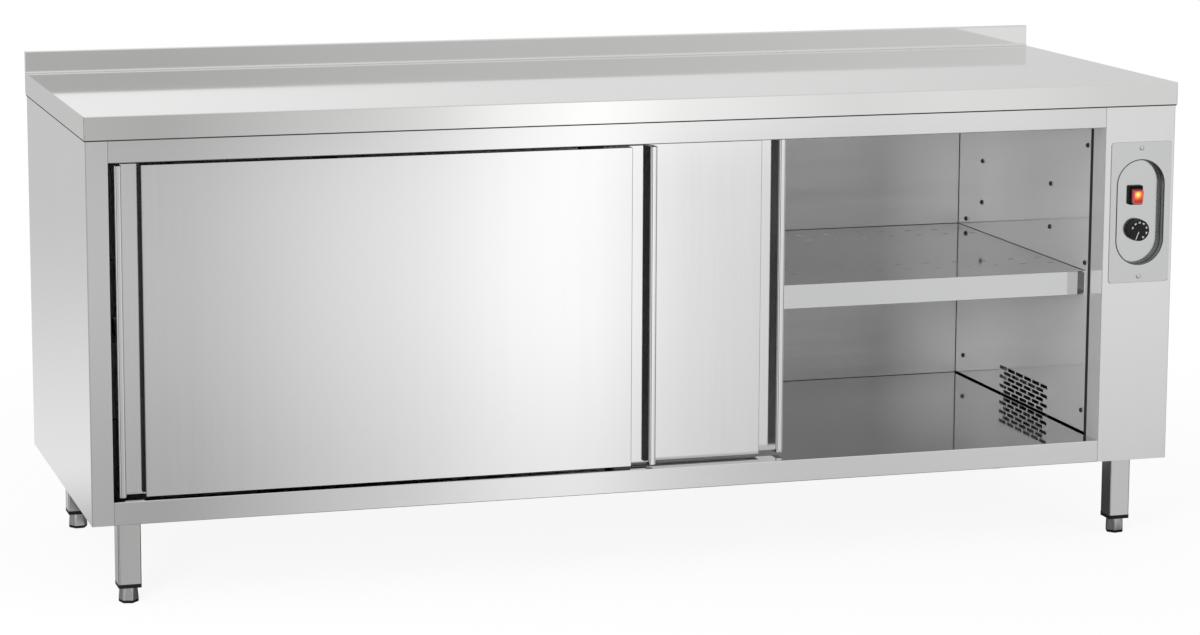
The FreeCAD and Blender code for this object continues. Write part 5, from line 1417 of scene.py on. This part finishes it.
    def gland(self) -> None:
        """Cable gland: hexagon collar and lock nut on a ribbed thread, open through."""
        low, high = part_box("cable_gland")
        x, y, tall = (low.x + high.x) / 2, (low.y + high.y) / 2, high.z - low.z
        spot = Matrix.Translation((x, y, low.z))
        thread = [(0.005, 0.0), (0.0074, 0.0)]
        for turn in range(11):
            thread += [(0.008, 0.0006 + turn * 0.0011), (0.0074, 0.00115 + turn * 0.0011)]
        sleeve = spun(thread + [(0.0074, tall), (0.005, tall), (0.005, 0.0)], spot, 36)
        nuts = []
        for base in (0.0, tall - self.nut_height):
            nut = prism(circle(self.nut_radius, 6), self.nut_height)
            rim = next(face for face in nut.faces if abs(face.normal.z) > 0.9)
            round_edges(nut, list(rim.edges), 0.0007, 2)
            bmesh.ops.transform(nut, matrix=spot @ Matrix.Translation((0, 0, base)), verts=nut.verts)
            nuts.append(nut)
        as_piece("gland_body", joined([sleeve] + nuts), Shop.GLAND, Body.CABINET,
                 ("cable_gland",), 30.0)

    def thermostat(self) -> None:
        """Thermostat case with its cover, a calibration screw, tabs and the shaft's bushing."""
        low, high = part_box("thermostat_body")
        x, z, back = (low.x + high.x) / 2, (low.z + high.z) / 2, high.y
        case = block((low.x, back - 0.024, low.z), (high.x, back - 0.006, high.z), 0.0016, 3)
        cover = block((low.x + 0.002, back - 0.0064, low.z + 0.002),
                      (high.x - 0.002, back - 0.0006, high.z - 0.002), 0.001, 2)
        sleeve = ((0.0031, 0.0), (0.0046, 0.0), (0.005, 0.0004), (0.005, 0.0068), (0.0031, 0.0068),
                  (0.0031, 0.0))
        bushing = spun(sleeve, toward((0, 1, 0), (x, low.y, z)), 36)
        tabs = [block((x + across - 0.0032, back - 0.0008, z + up - 0.0004),
                      (x + across + 0.0032, back, z + up + 0.0004))
                for across in (-0.009, 0.009) for up in (-0.009, 0.009)]
        screw = cross_head(0.0022, 0.0006, toward((0, 1, 0), (x, back - 0.0006, z)), 20)
        as_piece("thermostat_case", joined([case, cover, bushing, screw] + tabs), Shop.CASE, Body.CABINET,
                 ("thermostat_body",), 30.0)


@dataclass
class Insulation:
    """Mineral wool slabs with the soft dents of cut fibre."""

    cell: float = 0.03
    dent: float = 0.0022

    def make(self) -> None:
        """Build one dented slab for each solid of the node."""
        slabs = [self.slab(solid) for solid in solids_of("wall_insulation")]
        as_piece("wool_slabs", joined(slabs), Shop.WOOL, Body.CABINET,
                 ("wall_insulation",), 75.0)

    def slab(self, solid: Solid) -> bmesh.types.BMesh:
        """Slab whose every face is a fine net, pressed in unevenly.

        Args:
            solid: the slab's box.

        Returns:
            The closed mesh.
        """
        low, high = solid.low, solid.high
        counts = [max(1, round((high[axis] - low[axis]) / self.cell)) for axis in range(3)]
        bm = bmesh.new()
        for axis in range(3):
            first, second = [other for other in range(3) if other != axis]
            for level in (low[axis], high[axis]):
                net = []
                for row in range(counts[first] + 1):
                    line = []
                    for column in range(counts[second] + 1):
                        spot = Vector((0.0, 0.0, 0.0))
                        spot[axis] = level
                        spot[first] = low[first] + (high[first] - low[first]) * row / counts[first]
                        spot[second] = low[second] + (high[second] - low[second]) * column / counts[second]
                        line.append(bm.verts.new(self.pressed(spot, low, high)))
                    net.append(line)
                for near, far in zip(net, net[1:]):
                    for a, b, c, d in zip(near, near[1:], far[1:], far):
                        bm.faces.new((a, b, c, d))
        return tidy(bm)

    def pressed(self, spot: Vector, low: Vector, high: Vector) -> Vector:
        """A point of the slab's skin, moved in by an uneven amount."""
        depth = self.dent * (0.5 + 0.5 * noise.noise(spot * 23.0)) + 0.0002
        moved = spot.copy()
        for axis in range(3):
            if abs(spot[axis] - low[axis]) < 0.00001:
                moved[axis] += depth
            elif abs(spot[axis] - high[axis]) < 0.00001:
                moved[axis] -= depth
        return moved


def dress_nodes() -> None:
    """Give each CAD node the finish of its slot."""
    for name, node in frame["nodes"].items():
        node.data.materials.clear()
        node.data.materials.append(node_finish(name).material())


# Studio

class Surroundings(Net):
    """The world's nodes."""

    def ring(self, turn: bpy.types.NodeSocket, stops: Pairs) -> bpy.types.NodeSocket:
        """Brightness round the object.

        Args:
            turn: heading, with 0 to 1 for -180 to 180 degrees.
            stops: heading in degrees and brightness up to 2, in order.

        Returns:
            The socket with the brightness.
        """
        ramp = self.node("ShaderNodeValToRGB")
        self.link(turn, ramp.inputs["Fac"])
        band = ramp.color_ramp
        band.interpolation = "EASE"
        while len(band.elements) < len(stops):
            band.elements.new(0.5)
        for element, (heading, level) in zip(band.elements, stops):
            element.position = (heading + 180.0) / 360.0
            element.color = (level / 2, level / 2, level / 2, 1.0)
        grey = self.node("ShaderNodeRGBToBW")
        self.link(ramp.outputs["Color"], grey.inputs["Color"])
        return self.math("MULTIPLY", grey.outputs["Val"], 2.0)

    def eased(self, source: bpy.types.NodeSocket, step: Step) -> bpy.types.NodeSocket:
        """Smooth step from one value to another, given as start, end, first value and last value."""
        start, end, first, last = step
        return self.levels(source, first, last, start, end, "SMOOTHSTEP")

    def between(self, share: bpy.types.NodeSocket, first: object, second: object) -> bpy.types.NodeSocket:
        """The first value at a share of 1, and the second at 0."""
        rest = self.math("SUBTRACT", 1.0, share)
        return self.math("ADD", self.math("MULTIPLY", first, share), self.math("MULTIPLY", second, rest))


@dataclass(frozen=True)
class SoftBox:
    """A square lamp: where it hangs, where it aims, its width in metres and its power in watts."""

    name: str
    spot: Point
    aim: Point
    width: float
    power: float

    def make(self) -> None:
        """Hang the lamp; reflections don't see it."""
        data = bpy.data.lights.new(self.name, "AREA")
        data.shape, data.size, data.energy = "SQUARE", self.width, self.power
        lamp = bpy.data.objects.new(self.name, data)
        lamp.visible_glossy = False
        bpy.context.scene.collection.objects.link(lamp)
        facing = (Vector(self.aim) - Vector(self.spot)).to_track_quat("-Z", "Y").to_matrix().to_4x4()
        lamp.matrix_world = Matrix.Translation(self.spot) @ facing


@dataclass
class Studio:
    """Camera, lamps, floor and surroundings."""

    place: Point = (-1.8908, -6.1929, 1.5702)
    yaw: float = 17.024
    pitch: float = 9.254
    roll: float = 0.238
    lens: float = 106.35
    shift: float = -0.05
    level: float = 0.8
    lower: Pairs = (
        (-180, 0.72), (-168, 0.72), (-157, 0.26), (-140, 0.22), (-90, 0.38), (-62, 0.24), (-50, 0.8),
        (-31, 1.3), (-25.5, 0.8), (-21.5, 0.02), (-7, 0.02), (0, 0.38), (5, 0.56), (8.8, 0.66), (9.3, 0.58),
        (13.2, 0.98), (16.6, 1.46), (19.0, 0.87), (21, 0.84), (23.4, 0.91), (27, 0.86), (48, 0.6), (64, 0.2),
        (90, 0.36), (118, 0.26), (150, 0.6), (180, 0.66))
    upper: Pairs = (
        (-180, 0.75), (-170, 0.3), (-120, 0.3), (-90, 0.55), (-62, 0.4), (-48, 0.9), (-31, 0.9), (-20, 0.9),
        (-8, 0.9), (0, 0.6), (9, 0.62), (17, 0.76), (26, 0.9), (48, 0.6), (62, 0.4), (90, 0.6), (118, 0.45),
        (140, 0.75), (154, 0.84), (163, 0.95), (172, 1.1), (180, 1.05))
    trim: Pairs = (
        (-180, 1.0), (7.5, 1.0), (9, 0.88), (10.5, 0.92), (11.9, 0.83), (13.3, 0.82), (14.7, 0.91),
        (16.0, 0.96), (17.4, 1.02), (18.7, 1.26), (20.0, 1.26), (21.3, 1.15), (22.7, 1.13), (24.0, 1.09),
        (25.3, 1.0), (180, 1.0))
    rear_half: Step = (-0.2, 0.2, 0.0, 1.0)
    front_ground: Step = (-0.235, -0.165, 0.82, 1.04)
    rear_ground: Step = (-0.23, -0.14, 1.42, 1.0)
    rear_foot: Step = (-0.238, -0.216, 0.55, 1.0)
    trim_edge: Step = (-0.1405, -0.1368, 0.0, 1.0)
    horizon: Step = (-0.04, 0.04, 0.0, 1.0)
    overhead: Step = (0.5, 0.85, 0.0, 1.0)
    ground_to_sky: Step = (-0.1, 0.1, 0.3, 0.95)
    least_depth: float = 0.05
    boxes: tuple[SoftBox, ...] = (
        SoftBox("soft_box_left", (-3.2, -3.4, 3.4), (0.0, 0.0, 0.6), 2.4, 60.0),
        SoftBox("soft_box_right", (2.6, -3.8, 3.0), (0.2, 0.0, 0.5), 1.8, 30.0),
        SoftBox("fill_low", (-2.3, -3.1, 0.86), (0.86, 0.0, 0.46), 1.1, 145.0))

    def make(self) -> None:
        """Set up everything round the object."""
        self.camera()
        self.world()
        self.floor()
        self.shade_below()
        for box in self.boxes:
            box.make()
        bpy.context.scene.view_settings.view_transform = "Standard"

    def camera(self) -> None:
        """Camera at the photograph's viewpoint."""
        yaw, pitch, roll = (math.radians(angle) for angle in (self.yaw, self.pitch, self.roll))
        ahead = Vector((math.sin(yaw) * math.cos(pitch), math.cos(yaw) * math.cos(pitch), -math.sin(pitch)))
        side = ahead.cross(Vector((0, 0, 1))).normalized()
        rise = side.cross(ahead)
        right = side * math.cos(roll) + rise * math.sin(roll)
        up = rise * math.cos(roll) - side * math.sin(roll)
        data = bpy.data.cameras.new("camera")
        data.sensor_width, data.lens, data.shift_y = 36.0, self.lens, self.shift
        data.clip_start, data.clip_end = 0.05, 200.0
        camera = bpy.data.objects.new("camera", data)
        bpy.context.scene.collection.objects.link(camera)
        turn = Matrix((right, up, -ahead)).transposed().to_4x4()
        camera.matrix_world = Matrix.Translation(self.place) @ turn
        bpy.context.scene.camera = camera

    def world(self) -> None:
        """Plain light all round; the camera sees white, and metal sees the soft steps of a studio."""
        world = bpy.data.worlds.new("studio")
        bpy.context.scene.world = world
        world.use_nodes = True
        world.cycles.sampling_method = "NONE"
        world.node_tree.nodes.clear()
        net = Surroundings(world.node_tree)
        path = net.node("ShaderNodeLightPath")
        mirrored = net.math("MAXIMUM", path.outputs["Is Glossy Ray"], path.outputs["Is Transmission Ray"])
        strength = net.between(mirrored, self.backdrop(net), self.level)
        light = net.node("ShaderNodeBackground")
        net.link(net.between(path.outputs["Is Camera Ray"], 1.0, strength), light.inputs["Strength"])
        net.link(light.outputs["Background"], net.node("ShaderNodeOutputWorld").inputs["Surface"])

    def backdrop(self, net: Surroundings) -> bpy.types.NodeSocket:
        """What reflections see: a lower and an upper ring of brightness, the ground and the sky.

        Args:
            net: the world's nodes.

        Returns:
            The socket with the brightness.
        """
        way = net.node("ShaderNodeSeparateXYZ")
        net.link(net.node("ShaderNodeTexCoord").outputs["Generated"], way.inputs["Vector"])
        side, depth, height = (way.outputs[axis] for axis in "XYZ")
        heading = net.math("ARCTAN2", side, net.math("MULTIPLY", depth, -1.0))
        turn = net.math("MULTIPLY_ADD", heading, 0.5 / math.pi, 0.5)
        rear = net.math("MULTIPLY", net.eased(height, self.rear_ground), net.eased(height, self.rear_foot))
        ground = net.between(net.eased(depth, self.rear_half), rear, net.eased(height, self.front_ground))
        below = net.math("MULTIPLY", net.ring(turn, self.lower), ground)
        slope = net.math("DIVIDE", height, net.math("MAXIMUM", net.math("ABSOLUTE", depth), self.least_depth))
        edge = net.eased(slope, self.trim_edge)
        trimmed = net.math("MULTIPLY", below, net.between(edge, net.ring(turn, self.trim), 1.0))
        level = net.between(net.eased(height, self.horizon), net.ring(turn, self.upper), trimmed)
        steep = net.eased(net.math("ABSOLUTE", height), self.overhead)
        return net.between(steep, net.eased(height, self.ground_to_sky), level)

    @staticmethod
    def floor() -> None:
        """Plain pale floor that keeps a faint shadow and fades into the white surroundings."""
        bm = bmesh.new()
        bmesh.ops.create_grid(bm, x_segments=1, y_segments=1, size=40.0)
        floor = placed("floor", bm)
        net = Wiring("pale_floor")
        white = net.node("ShaderNodeEmission")
        matt = net.node("ShaderNodeBsdfDiffuse")
        matt.inputs["Color"].default_value = (0.9, 0.9, 0.9, 1.0)
        away = net.node("ShaderNodeVectorMath", operation="LENGTH")
        net.link(net.place, away.inputs[0])
        blend = net.node("ShaderNodeMixShader")
        net.link(net.levels(away.outputs["Value"], 0.1, 0.0, 1.1, 2.2), blend.inputs["Fac"])
        net.link(white.outputs["Emission"], blend.inputs[1])
        net.link(matt.outputs["BSDF"], blend.inputs[2])
        clear = net.node("ShaderNodeBsdfTransparent")
        seen = net.node("ShaderNodeLightPath").outputs["Is Camera Ray"]
        below = net.node("ShaderNodeNewGeometry").outputs["Backfacing"]
        final = net.node("ShaderNodeMixShader")
        net.link(net.math("MULTIPLY", below, seen), final.inputs["Fac"])
        net.link(blend.outputs["Shader"], final.inputs[1])
        net.link(clear.outputs["BSDF"], final.inputs[2])
        net.link(final.outputs["Shader"], net.surface)
        floor.data.materials.append(net.material)
        floor.visible_glossy = False

    @staticmethod
    def shade_below() -> None:
        """Dark patch under the cabinet that only reflections see, as the ground there is in shadow."""
        bm = bmesh.new()
        bmesh.ops.create_grid(bm, x_segments=4, y_segments=4, size=1.0)
        bmesh.ops.scale(bm, vec=(0.94, 0.34, 1.0), verts=bm.verts)
        bmesh.ops.translate(bm, vec=(0.03, 0.0, 0.0006), verts=bm.verts)
        for vert in bm.verts:
            if vert.co.y < -0.33 and -0.9 < vert.co.x < 0.6:
                vert.co.y = -0.6
        patch = placed("ground_shade", bm)
        net = Wiring("ground_shade")
        dim = net.node("ShaderNodeEmission")
        shade = net.tint(net.noise((3.0, 3.0, 3.0)), (0.03, 0.03, 0.03), (0.07, 0.07, 0.07))
        net.link(shade, dim.inputs["Color"])
        net.link(dim.outputs["Emission"], net.surface)
        patch.data.materials.append(net.material)
        patch.visible_camera = patch.visible_diffuse = patch.visible_shadow = False


def main() -> None:
    """Dress the cabinet from the outside in, then set up the studio."""
    logging.basicConfig(level=logging.INFO, format="%(name)s %(message)s")
    dress_nodes()
    Casework().make()
    Cabin().make()
    ControlPlate().make()
    Legs().make()
    ServiceSpace().make()
    Insulation().make()
    for node in ("worktop_stiffeners", "door_track", "bottom_guide", "door_buffers"):
        FoldedSheet(node, broken=0.0004).make()
    Door("front", Body.FRONT_DOOR, {"left": Body.FRONT_LEFT_WHEEL, "right": Body.FRONT_RIGHT_WHEEL}).make()
    Door("rear", Body.REAR_DOOR, {"left": Body.REAR_LEFT_WHEEL, "right": Body.REAR_RIGHT_WHEEL}).make()
    Studio().make()


if __name__ == "__main__":
    main()
